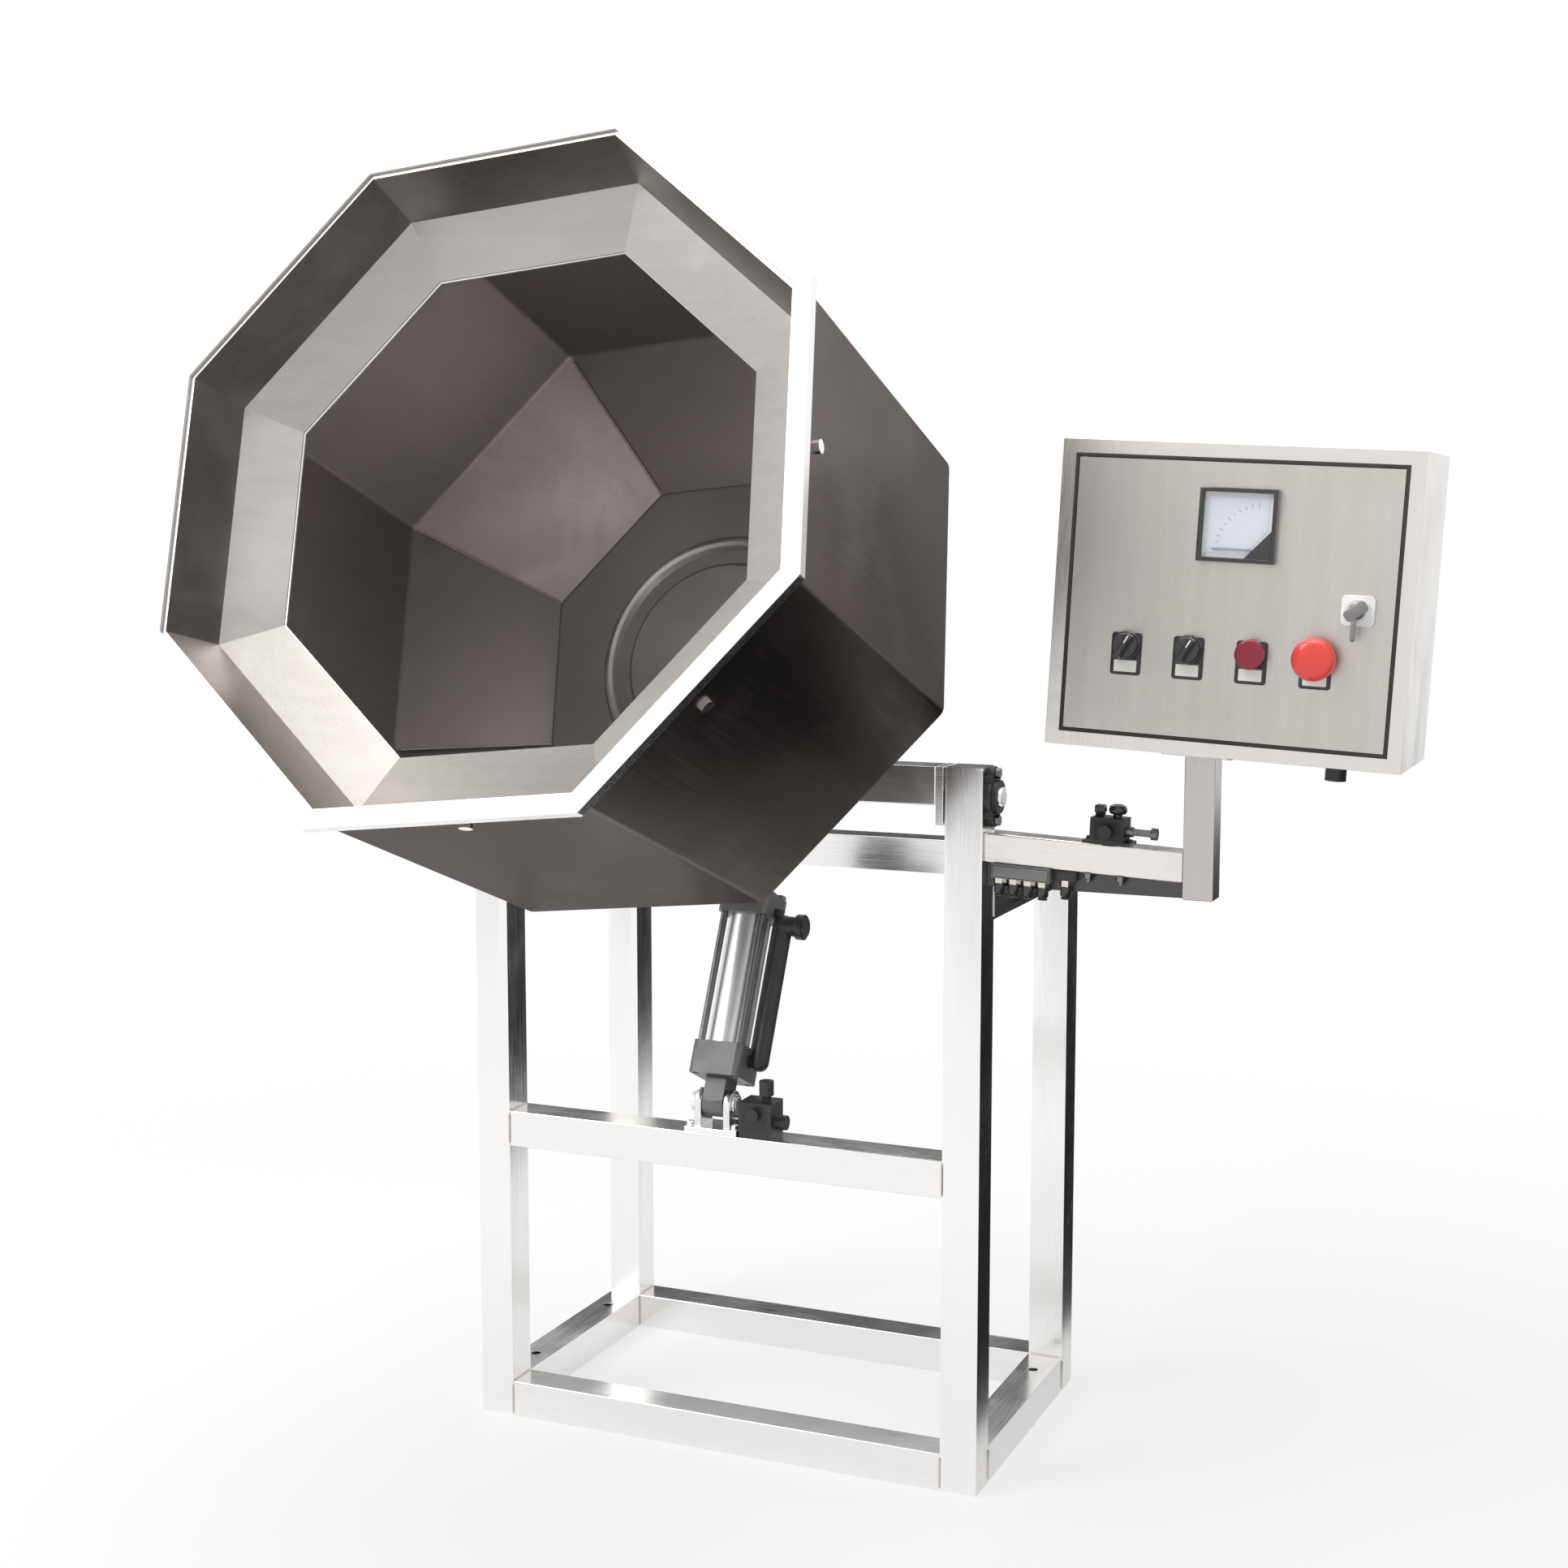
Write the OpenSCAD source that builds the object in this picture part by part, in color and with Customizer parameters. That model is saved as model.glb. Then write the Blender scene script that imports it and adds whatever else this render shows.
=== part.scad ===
// Seasoning drum mixer: an octagonal stainless drum that turns on a hub behind
// its bottom plate. Hub, gearbox and motor ride on a cradle that tilts on two
// flange bearings at the tops of the front legs. A tie-rod cylinder on the front
// crossbar tips the cradle, and a control box stands on an arm at the right.
// Origin: on the floor, straight below the tilt axis, on the centre plane.
// +X is the machine's right as seen from the mouth side, -Y is the mouth side.

/* [Frame] */
// Width over the legs
frame_w = 592; // [540:1:680]
// Distance from the front leg centres to the rear leg centres
frame_d = 316; // [280:1:380]
// Height of the front legs
front_h = 762; // [700:1:820]
// Height of the rear legs and of the upper side rails
rear_h = 642; // [600:1:680]
// Top of the middle crossbar that carries the cylinder
cross_z = 354; // [300:1:400]
// Side of the square tube
tube = 40; // [35:1:50]
// Wall of the square tube
wall = 2; // [1.5:0.5:3]

/* [Tilt axis] */
// Distance of the tilt axis below the leg tops
pivot_drop = 30; // [26:1:34]
// Radius of the stub shafts
stub_r = 10; // [8:0.5:12]
// Gap between the tilt beam and each front leg
beam_gap = 10; // [9.5:0.5:12]

/* [Drum] */
// Mouth of the drum above level, in degrees
mouth_tilt = 20.2; // [10:0.1:35]
// Turn of the octagon about its own axis
drum_turn = 6; // [0:1:44]
// Radius over the corners of the straight walls
drum_r = 323; // [290:1:330]
// Radius over the corners of the bottom plate
bottom_r = 214; // [190:1:240]
// Length of the tapered back
taper_l = 153; // [120:1:180]
// Length of the drum without the rim
drum_l = 542; // [500:1:600]
// Sheet thickness of the drum
sheet = 2; // [1.5:0.5:4]
// Radius over the corners of the rim
rim_r = 333; // [326:1:345]
// Radius over the corners of the collar's bend
bend_r = 301; // [285:1:306]
// Depth of the collar's bend behind the mouth
bend_d = 62; // [45:1:80]
// Radius over the corners of the collar's free edge
throat_r = 245; // [220:1:260]
// Depth of the collar's free edge behind the mouth
throat_d = 85; // [82:1:110]
// Height of the drum axis above the tilt axis
hub_rise = 123; // [115:1:140]
// Distance of the bottom plate in front of the tilt axis
hub_gap = 48; // [44:1:60]

/* [Drive] */
// Radius of the drum shaft
shaft_r = 25; // [20:1:30]
// Side of the gearbox
gear_side = 130; // [120:1:140]
// Distance of the worm axis below the drum axis
worm_drop = 63; // [60:1:66]
// Radius of the motor
motor_r = 58; // [50:1:60]
// Length of the motor without the fan cover
motor_l = 155; // [140:1:165]

/* [Tilt cylinder] */
// Sideways place of the cylinder
cyl_x = -8; // [-20:1:0]
// Height of the foot pin above the crossbar
foot_rise = 30; // [26:1:34]
// Lean of the cylinder from upright, in degrees
cyl_lean = 25.2; // [22:0.1:28]
// Distance of the rod pin below the tilt axis
pin_drop = 63; // [58:0.5:66]
// Radius of the barrel
barrel_r = 23.5; // [20:0.5:25]
// Side of the square end caps
cap_side = 58; // [54:1:60]
// Radius of the piston rod
rod_r = 10; // [8:0.5:12]
// Radius of both pins
pin_r = 8; // [6:0.5:8]

/* [Control stand] */
// Droop of the arm, in degrees
arm_droop = 2.6; // [0:0.1:4]
// Side of the arm and post tube
arm_tube = 30; // [25:1:35]
// Distance of the arm's axis below the leg tops, where it leaves the leg
arm_drop = 80; // [78:1:100]
// Length of the arm between the leg and the post
arm_l = 203; // [180:1:230]
// Width of the control box
box_w = 334; // [300:1:360]
// Height of the control box
box_h = 290; // [260:1:320]
// Depth of the control box
box_d = 160; // [140:1:180]
// Centre of the control box, to the right of the post's left face
box_right = 53; // [30:1:80]
// Centre of the control box above the arm's axis
box_rise = 250.5; // [230:0.5:270]
// Clockwise roll of the control box, in degrees
box_roll = 3; // [0:0.5:5]
// Width of the fixed border around the door
border = 15; // [12:1:20]

/* [Hidden] */
eps = 0.01;
half_w = frame_w / 2;
ht = tube / 2;
pivot_z = front_h - pivot_drop;
beam_l = frame_w - 2 * (tube + beam_gap);
foot_z = cross_z + foot_rise;
arm_z = front_h - arm_drop;
post_x = half_w + arm_l;
post_bottom = arm_z - 41;
box_pos = [post_x + box_right, arm_z + box_rise];
steel = [0.74, 0.74, 0.75];
steel_bright = [0.86, 0.86, 0.87];
steel_dark = [0.42, 0.40, 0.40];
cast_black = [0.10, 0.10, 0.11];
plastic_black = [0.06, 0.06, 0.07];
cast_grey = [0.55, 0.56, 0.58];
run = 0.05;                 // radial clearance of a running fit
gap = 2;                    // gap around the door
cr = cos(mouth_tilt);
sr = sin(mouth_tilt);
hub_y = hub_rise * sr - hub_gap * cr;
hub_z = pivot_z + hub_rise * cr + hub_gap * sr;
plate_t = 12;               // thickness of the cradle plate
plate_back = -hub_gap - plate_t / 2;
hous_back = plate_back - 64;
hous_r = gear_side / 2 + 1;  // rear flange, as wide as the gearbox
gear_back = hous_back - 90;
gear_mid = (hous_back + gear_back) / 2;
motor_x0 = gear_side / 2 + 12;
pin_z = pivot_z - pin_drop;
cyl_pins = (pin_z - foot_z) / cos(cyl_lean);
pin_y = cyl_pins * sin(cyl_lean);
cap_z = cyl_pins - 107;     // start of the cylinder's front cap
lug_dir = atan2(pin_z - pivot_z, pin_y);
lug_in = 20;                // half the gap between the two lugs
lug_t = 10;
rod_off = cap_side / 2 - 7; // tie rods from the cylinder's axis
slot_r = pin_r + 1.2;        // half the width of the slots in the lugs
slot_a = 6.4;               // slot centres from the pin, towards and away from the axis
slot_b = 8.6;
oct = 22.5;
bolt_pitch = 24;            // flange bearing bolts from the tilt axis
rib_r0 = 80;
screw_z = drum_l - 45;
flat_r = drum_r * cos(oct);
inner_r = drum_r - sheet * 1.08;
inner_flat = inner_r * cos(oct);
tongue_t = 2.5;             // tongues of the collar behind the screws
tongue_in = inner_flat - 0.6 - tongue_t;
valve_s = 129;              // the hand valve along the arm
valve_h = 13;               // its spindle above the arm
dev_u = [-93, -34, 25, 84]; // the four devices along the door
device_hole = 11;
door_w = box_w - 2 * border - 2 * gap;
door_h = box_h - 2 * border - 2 * gap;
dev_w = 82 - door_h / 2;
front_y = -box_d / 2;
hinge_u = -door_w / 2 + 4;
hinge_y = front_y + 4;
hinge_r = 1.6;
meter_u = 4;
meter_w = door_h / 2 - 57;
needle_u = 22;              // pointer's pivot from the meter's centre
needle_w = -22;
lock_u = door_w / 2 - 32;
lock_w = 0;
button_gap = 0.3;

// Local frames

// Drum frame: +Z out of the mouth along the drum axis, +Y up, z = 0 at the back edge of the shell
module on_drum() translate([0, hub_y, hub_z]) rotate([90 - mouth_tilt, 0, 0]) children();

// The drum frame for the drive, whose motor lies to the left
module on_drive() on_drum() mirror([1, 0, 0]) children();

// Cylinder frame: z = 0 at the foot pin, +Z towards the rod pin
module on_cylinder() translate([cyl_x, 0, foot_z]) rotate([-cyl_lean, 0, 0]) children();

// Box frame: centre of the control box, x to the right, y to the back
module on_box() translate([box_pos[0], 0, box_pos[1]]) rotate([0, box_roll, 0]) children();

// Arm frame: +X along the drooping arm, z = 0 on its axis, x = 0 just inside the leg's outer face
module on_arm() translate([half_w - 4, 0, arm_z]) rotate([0, arm_droop, 0]) children();

// Shared shapes

// Square tube along +Z, centred on the axis
module square_tube(len, side = tube, t = wall) {
    difference() {
        translate([-side / 2, -side / 2, 0]) cube([side, side, len]);
        translate([t - side / 2, t - side / 2, -1]) cube([side - 2 * t, side - 2 * t, len + 2]);
    }
}

// Square tube along +X
module tube_x(len, side = tube, t = wall) rotate([0, 90, 0]) square_tube(len, side, t);

// Square tube along +Y
module tube_y(len, side = tube, t = wall) rotate([-90, 0, 0]) square_tube(len, side, t);

// Round bar along +X between two places
module bar_x(x0, x1, r)
    translate([x0, 0, 0]) rotate([0, 90, 0]) cylinder(h = x1 - x0, r = r, $fn = 64);

// Round bar along +Y between two places
module bar_y(y0, y1, r)
    translate([0, y0, 0]) rotate([-90, 0, 0]) cylinder(h = y1 - y0, r = r, $fn = 64);

// Octagonal prism or frustum with its corners turned to the drum's own angle
module octagon(h, r1, r2) rotate([0, 0, oct + drum_turn]) cylinder(h = h, r1 = r1, r2 = r2, $fn = 8);

// Octagonal solid through rings of height and corner radius, from the lowest up
module stack(rings)
    rotate([0, 0, oct + drum_turn])
        polyhedron(
            points = [for (r = rings, k = [0:7]) [r[1] * cos(45 * k), r[1] * sin(45 * k), r[0]]],
            faces = concat(
                [[for (k = [0:7]) k]],
                [for (i = [0:len(rings) - 2], k = [0:7])
                    [8 * i + k, 8 * i + 8 + k, 8 * i + 8 + (k + 1) % 8, 8 * i + (k + 1) % 8]],
                [[for (k = [7:-1:0]) 8 * (len(rings) - 1) + k]]
            )
        );

// Hexagon head or nut along +Z
module hex(h, flats) cylinder(h = h, r = flats / sqrt(3), $fn = 6);

// Rounded rectangle in the XY plane
module rounded(w, h, t, r) {
    cx = w / 2 - r;
    cy = h / 2 - r;
    union() {
        translate([-w / 2, -cy, 0]) cube([w, 2 * cy, t]);
        translate([-cx, -h / 2, 0]) cube([2 * cx, h, t]);
        for (sx = [-1, 1], sy = [-1, 1])
            translate([sx * cx, sy * cy, 0]) cylinder(h = t, r = r, $fn = 32);
    }
}

// Frame

// A leg with its welded top cover
module leg(h) {
    square_tube(h - 3);
    translate([0, 0, h - 3]) rounded(tube, tube, 3, 3);
}

// A front leg, bored for the stub shaft
module front_leg(side) {
    color(steel)
    translate([side * (half_w - ht), 0, 0])
        difference() {
            leg(front_h);
            translate([0, 0, pivot_z]) bar_x(-tube, tube, stub_r + 3);
            for (dz = [-bolt_pitch, bolt_pitch])
                translate([0, 0, pivot_z + dz]) bar_x(side > 0 ? 0 : -tube, side > 0 ? tube : 0, 3.2);
        }
}
module front_leg_left() front_leg(-1);
module front_leg_right() front_leg(1);

module rear_leg(side) color(steel) translate([side * (half_w - ht), frame_d, 0]) leg(rear_h);
module rear_leg_left() rear_leg(-1);
module rear_leg_right() rear_leg(1);

module front_bottom_rail()
    color(steel) translate([-half_w + tube, 0, ht]) tube_x(frame_w - 2 * tube);

module rear_bottom_rail()
    color(steel) translate([-half_w + tube, frame_d, ht]) tube_x(frame_w - 2 * tube);

// Side rails at the floor, each drilled for two floor anchors
module side_bottom_rails()
    color(steel)
    for (s = [-1, 1])
        translate([s * (half_w - ht), ht, ht])
            difference() {
                tube_y(frame_d - tube);
                for (y = [48, frame_d - tube - 48])
                    translate([0, y, -tube]) cylinder(h = 2 * tube, r = 5.5, $fn = 48);
            }

module mid_crossbar()
    color(steel) translate([-half_w + tube, 0, cross_z - ht]) tube_x(frame_w - 2 * tube);

module rear_top_rail()
    color(steel) translate([-half_w + tube, frame_d, rear_h - ht]) tube_x(frame_w - 2 * tube);

module side_top_rails()
    color(steel)
    for (s = [-1, 1])
        translate([s * (half_w - ht), ht, rear_h - ht]) tube_y(frame_d - tube);

// Plastic plugs pressed into the leg feet
module tube_plugs()
    color(plastic_black)
    for (s = [-1, 1], y = [0, frame_d])
        translate([s * (half_w - ht), y, 0])
            difference() {
                rounded(tube - 2 * wall, tube - 2 * wall, 22, 2);
                translate([0, 0, 4]) rounded(tube - 2 * wall - 6, tube - 2 * wall - 6, 20, 2);
            }

// Two-bolt flange bearing on the outer face of a front leg
module pivot_bearings()
    color(cast_black)
    for (s = [-1, 1])
        translate([s * half_w, 0, pivot_z]) rotate([0, s * 90, 0])
            difference() {
                union() {
                    translate([-22, -14, 0]) cube([44, 28, 8]);
                    for (d = [-1, 1]) translate([d * 22, 0, 0]) cylinder(h = 8, r = 9, $fn = 40);
                    cylinder(h = 8, r = 20, $fn = 64);
                    cylinder(h = 13, r1 = 18, r2 = 17, $fn = 64);
                }
                translate([0, 0, -1]) cylinder(h = 16, r = stub_r + run, $fn = 96);
                for (d = [-bolt_pitch, bolt_pitch])
                    translate([d, 0, -1]) cylinder(h = 12, r = 3.2, $fn = 32);
            }

module pivot_bolts()
    color(steel_bright)
    for (s = [-1, 1], d = [-bolt_pitch, bolt_pitch])
        translate([s * half_w, 0, pivot_z + d]) rotate([0, s * 90, 0]) {
            translate([0, 0, 8]) hex(4.5, 10);
            translate([0, 0, -10]) cylinder(h = 18.5, r = 3, $fn = 32);
        }

// Foot of the tilt cylinder, on the crossbar

module foot_bracket()
    color(steel_bright)
    translate([cyl_x, 0, cross_z])
        difference() {
            union() {
                translate([-31, -ht, 0]) cube([62, tube, 6]);
                for (s = [-1, 1]) translate([s * 17, 0, 0]) {
                    translate([-4, -15, 3]) cube([8, 30, foot_z - cross_z - 3]);
                    translate([0, 0, foot_z - cross_z]) bar_x(-4, 4, 15);
                }
            }
            translate([0, 0, foot_z - cross_z]) bar_x(-40, 40, pin_r + run);
        }

module foot_pin()
    color(steel_bright)
    translate([cyl_x, 0, foot_z]) {
        bar_x(-23, 25, pin_r);
        bar_x(-27, -21.2, pin_r + 3);
        bar_x(21.2, 24, pin_r + 3);
    }

// Air flow valve with its hand knob, beside the foot
module flow_valve()
    color(plastic_black)
    translate([cyl_x + 34, 0, cross_z]) {
        translate([-2, -17, 0]) cube([38, 34, 38]);
        translate([24, 0, 38]) cylinder(h = 8, r = 5, $fn = 40);
        translate([24, 0, 44]) cylinder(h = 16, r = 8, $fn = 12);
        translate([17, 0, 26]) rotate([90, 0, 0]) cylinder(h = 24, r = 7, $fn = 40);
        translate([34, 0, 16]) rotate([0, 90, 0]) cylinder(h = 14, r = 8, $fn = 40);
    }

// Control stand

module control_arm()
    color(steel)
    intersection() {
        on_arm() tube_x(arm_l + 12, arm_tube);
        translate([half_w, -50, arm_z - 80]) cube([arm_l, 100, 160]);
    }

// Web under the arm, welded to the leg and to the post
module arm_brace()
    color(steel_dark)
    difference() {
        translate([half_w, -4, post_bottom]) cube([arm_l, 8, arm_z - post_bottom]);
        on_arm() translate([-20, -20, -arm_tube / 2]) cube([arm_l + 60, 40, 80]);
    }

module control_post()
    color(steel)
    difference() {
        translate([post_x + arm_tube / 2, 0, post_bottom]) square_tube(box_rise, arm_tube);
        on_box() translate([-300, -200, -box_h / 2 - 6]) cube([600, 400, 400]);
    }

// Enclosure: a five-sided box with a fixed border around the door and a foot plate below
module box_shell()
    color(steel)
    on_box() {
        t = 2;
        difference() {
            translate([-box_w / 2, front_y, -box_h / 2]) cube([box_w, box_d, box_h]);
            difference() {
                translate([-box_w / 2 + t, front_y + t, -box_h / 2 + t])
                    cube([box_w - 2 * t, box_d - 2 * t, box_h - 2 * t]);
                translate([-door_w / 2 - gap - t, front_y, -door_h / 2 - gap - t])
                    cube([door_w + 2 * (gap + t), 18, door_h + 2 * (gap + t)]);
            }
            translate([-door_w / 2 - gap, front_y - 1, -door_h / 2 - gap])
                cube([door_w + 2 * gap, 20, door_h + 2 * gap]);
            translate([box_w / 2 - 70, 0, -box_h / 2 - 1]) cylinder(h = 5, r = 10, $fn = 48);
        }
        // seal lip behind the door
        translate([0, front_y + 18, 0])
            difference() {
                translate([-box_w / 2 + t, 0, -box_h / 2 + t]) cube([box_w - 2 * t, 2, box_h - 2 * t]);
                translate([-door_w / 2 + 9, -1, -door_h / 2 + 9]) cube([door_w - 18, 4, door_h - 18]);
            }
        // foot plate that the post is welded to
        translate([arm_tube / 2 - box_right + (box_h / 2 + 6) * sin(box_roll), 0, -box_h / 2 - 6])
            rounded(70, 70, 6, 6);
    }

module cable_gland()
    color(plastic_black)
    on_box() translate([box_w / 2 - 70, 0, -box_h / 2])
        difference() {
            union() {
                translate([0, 0, -6]) hex(6, 26);
                translate([0, 0, -20]) cylinder(h = 15, r = 10, $fn = 48);
                translate([0, 0, -1]) cylinder(h = 9, r = 9.8, $fn = 48);
                translate([0, 0, 2]) hex(4, 24);
            }
            translate([0, 0, 1]) cylinder(h = 9, r = 6, $fn = 48);
        }

// Hand air valve screwed down on the arm, with a port in front and two behind
module hand_valve()
    color(cast_black)
    on_arm() translate([valve_s, 0, arm_tube / 2])
        difference() {
            union() {
                translate([-24, -14, 0]) cube([48, 28, 3]);
                for (x = [-20.5, 20.5]) translate([x, 0, 2]) cylinder(h = 3.5, r = 3, $fn = 32);
                translate([-17, -14, 0]) cube([34, 28, 26]);
                translate([0, 0, valve_h]) bar_y(-23, -13, 7);
                for (x = [-10, 10]) translate([x, 0, valve_h]) bar_y(13, 22, 6);
            }
            translate([0, 0, valve_h]) bar_x(8, 20, 5 + run);
        }

// Lever of the hand valve; it turns about its own spindle along the arm
module valve_lever()
    color(steel_dark)
    on_arm() translate([valve_s, 0, arm_tube / 2 + valve_h]) {
        bar_x(9, 24, 5);
        translate([18, -4, -3]) cube([24, 8, 6]);
        translate([42, 0, 0]) rotate([0, 90, 0]) cylinder(h = 6, r = 6, $fn = 40);
    }

// Door: a tray with folded edges, its front flush with the border
module box_door()
    color(steel)
    on_box()
        difference() {
            translate([-door_w / 2, front_y, -door_h / 2]) cube([door_w, 15, door_h]);
            translate([-door_w / 2 + 2, front_y + 2, -door_h / 2 + 2]) cube([door_w - 4, 20, door_h - 4]);
            for (u = dev_u) translate([u, front_y, dev_w]) bar_y(-2, 4, device_hole);
            translate([lock_u, front_y, lock_w]) bar_y(-2, 4, 9);
            translate([meter_u - 30, front_y - 1, meter_w - 28]) cube([60, 4, 56]);
            for (s = [-1, 1])
                translate([hinge_u, hinge_y, s * (door_h / 2 - 1) - 3])
                    cylinder(h = 6, r = hinge_r + run, $fn = 48);
        }

module door_pins()
    color(steel_bright)
    on_box()
        for (s = [-1, 1])
            translate([hinge_u, hinge_y, s > 0 ? door_h / 2 + gap - 10 : -door_h / 2 - gap])
                cylinder(h = 10, r = hinge_r, $fn = 48);

// Square moving-coil meter with an open bezel
module meter_case()
    color(plastic_black)
    on_box() translate([meter_u, front_y, meter_w]) {
        difference() {
            translate([-36, -9, -34]) cube([72, 9, 68]);
            translate([-32, -10, -30]) cube([64, 8, 60]);
        }
        translate([-30, 0, -28]) cube([60, 34, 56]);
        // cover over the movement, lower right, and the pointer's pivot behind it
        translate([0, -6.2, 0]) rotate([90, 0, 0]) linear_extrude(1.6)
            polygon([[33, -31], [33, -4], [8, -31]]);
        translate([needle_u, 0, needle_w]) bar_y(-6.4, -1.9, 1);
    }

module meter_face()
    color([0.93, 0.93, 0.93])
    on_box() translate([meter_u, front_y - 2, meter_w]) rotate([90, 0, 0])
        linear_extrude(1) polygon([[-32, -30], [8, -30], [32, -4], [32, 30], [-32, 30]]);

// Pointer of the meter; its pivot is behind the lower right corner
module meter_needle()
    color([0.12, 0.12, 0.12])
    on_box() translate([meter_u + needle_u, front_y - 4, meter_w + needle_w])
        difference() {
            union() {
                bar_y(-1.4, 0.6, 3.2);
                translate([-45, -0.8, -0.5]) cube([43, 0.8, 1]);
            }
            bar_y(-3, 3, 1 + run);
        }

module legend_plates()
    color([0.80, 0.79, 0.76])
    on_box()
        for (i = [0:3])
            translate([dev_u[i], front_y, dev_w])
                rotate([90, 0, 0])
                    difference() {
                        translate([0, -6, 0]) rounded(30, 44, 1.2, 3);
                        translate([0, 0, -1]) cylinder(h = 4, r = device_hole, $fn = 64);
                    }

module button_bezels()
    color(plastic_black)
    on_box()
        for (i = [0:3])
            translate([dev_u[i], front_y - 1.2, dev_w])
                difference() {
                    union() {
                        bar_y(-4, 0, 14);
                        bar_y(0, 26, device_hole - 0.2);
                    }
                    bar_y(-5, 30, 8 + run);
                }

// Selector knob: a disc with a raised grip, its stem in the bezel
module selector(i, turn) {
    color(plastic_black)
    on_box() translate([dev_u[i], front_y - 1.2 - 4 - button_gap, dev_w]) {
        bar_y(-4, 0, 12);
        bar_y(0, 26, 8);
        rotate([0, turn, 0]) translate([-4, -15, -13]) cube([8, 12, 26]);
    }
}
module selector_left() selector(0, 30);
module selector_right() selector(1, 30);

module push_button()
    color([0.60, 0.02, 0.12])
    on_box() translate([dev_u[2], front_y - 1.2 - 4, dev_w]) {
        bar_y(-9, -4, 14);
        bar_y(-4, 24, 8);
    }

module stop_button()
    color([0.90, 0.10, 0.08])
    on_box() translate([dev_u[3], front_y - 1.2 - 4, dev_w]) {
        translate([0, -6, 0]) rotate([90, 0, 0]) cylinder(h = 12, r = 20, $fn = 96);
        translate([0, -18, 0]) rotate([90, 0, 0]) cylinder(h = 3, r1 = 20, r2 = 15, $fn = 96);
        bar_y(-6, 22, 8);
    }

module lock_plate()
    color([0.88, 0.88, 0.87])
    on_box() translate([lock_u, front_y, lock_w])
        difference() {
            union() {
                rotate([90, 0, 0]) rounded(30, 28, 4, 5);
                bar_y(-8, 0, 11);
                bar_y(0, 14, 8.8);
            }
            bar_y(-9, 20, 5 + run);
        }

module lock_key()
    color(steel_dark)
    on_box() translate([lock_u, front_y, lock_w]) {
        bar_y(-9, 25, 5);
        translate([0, -10, 0]) bar_y(-9, 1, 3);
        translate([-3, -30, -15]) cube([6, 14, 30]);
        // the cam, which swings behind the seal lip
        bar_y(21, 25, 8);
        translate([-5, 21, -30]) cube([10, 4, 26]);
    }

// Tilting cradle

module beam_core(grow = 0)
    translate([-beam_l / 2, -ht - grow, front_h - tube - grow])
        cube([beam_l, tube + 2 * grow, tube + 2 * grow]);

module tilt_beam()
    color(steel)
    translate([-beam_l / 2, 0, front_h - ht]) tube_x(beam_l, tube, 3);

// End plates of the beam with the turned stub shafts
module tilt_stubs()
    color(steel_bright)
    for (s = [-1, 1])
        translate([s * beam_l / 2, 0, 0]) mirror([s > 0 ? 0 : 1, 0, 0]) {
            translate([0, -ht, pivot_z - 30]) cube([beam_gap - 2, tube, front_h - pivot_z + 30]);
            translate([0, 0, pivot_z]) bar_x(4, beam_gap + tube + 16, stub_r);
        }

// Plate across the drum axis that carries the hub
module cradle_plate()
    color(steel)
    difference() {
        on_drum() translate([0, 0, plate_back])
            difference() {
                linear_extrude(plate_t)
                    polygon([[-160, -112], [160, -112], [160, -70], [105, 60], [60, 92],
                             [-60, 92], [-105, 60], [-160, -70]]);
                translate([0, 0, -1]) cylinder(h = 30, r = 49.2, $fn = 96);
                for (a = [30:60:330])
                    rotate([0, 0, a]) translate([63, 0, -1]) cylinder(h = 30, r = 5.2, $fn = 32);
            }
        beam_core(0);
    }

// Webs between the plate's back and the beam's back face
module cradle_gussets() {
    top = [hub_y + 6 * sr - plate_back * cr, hub_z + 6 * cr + plate_back * sr];
    low = [hub_y - 100 * sr - plate_back * cr, hub_z - 100 * cr + plate_back * sr];
    color(steel)
    difference() {
        for (x = [-104, 96])
            translate([x, 0, 0]) rotate([90, 0, 90])
                linear_extrude(8) polygon([top, low, [ht, front_h - tube + 2], [52, front_h - 18]]);
        beam_core(0);
    }
}

// Two lugs behind the beam; their slots run away from the tilt axis
module cylinder_lugs()
    color(steel)
    difference() {
        for (s = [-1, 1])
            translate([cyl_x + (s > 0 ? lug_in : -lug_in - lug_t), 0, 0]) {
                rotate([90, 0, 90]) linear_extrude(lug_t)
                    polygon([[ht, front_h - 18], [pin_y + 10, pin_z + 22.5], [pin_y - 9, pin_z - 22.5],
                             [-12, front_h - tube], [ht, front_h - tube]]);
                translate([0, pin_y, pin_z]) bar_x(0, lug_t, 25);
            }
        translate([cyl_x - 40, pin_y, pin_z]) rotate([lug_dir, 0, 0]) {
            translate([0, -slot_a, -slot_r]) cube([80, slot_a + slot_b, 2 * slot_r]);
            for (y = [-slot_a, slot_b]) translate([0, y, 0]) bar_x(0, 80, slot_r);
        }
        beam_core(0);
    }

// Cast bearing housing behind the plate
module hub_housing()
    color(cast_grey)
    on_drum()
        difference() {
            rotate_extrude($fn = 128)
                polygon([[shaft_r + run, hous_back], [hous_r, hous_back], [hous_r, hous_back + 8],
                         [52, hous_back + 16], [52, plate_back - 12], [76, plate_back - 12],
                         [76, plate_back], [49, plate_back], [49, plate_back + plate_t + 6],
                         [shaft_r + run, plate_back + plate_t + 6]]);
            for (a = [30:60:330])
                rotate([0, 0, a]) translate([63, 0, plate_back - 14]) cylinder(h = 40, r = 5.2, $fn = 32);
        }

module hub_bolts()
    color(steel_bright)
    on_drum()
        for (a = [30:60:330]) rotate([0, 0, a]) translate([63, 0, 0]) {
            translate([0, 0, plate_back - 19]) hex(7, 16);
            translate([0, 0, plate_back - 13]) cylinder(h = plate_t + 26, r = 5, $fn = 32);
            translate([0, 0, plate_back + plate_t]) hex(8, 16);
        }

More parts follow.
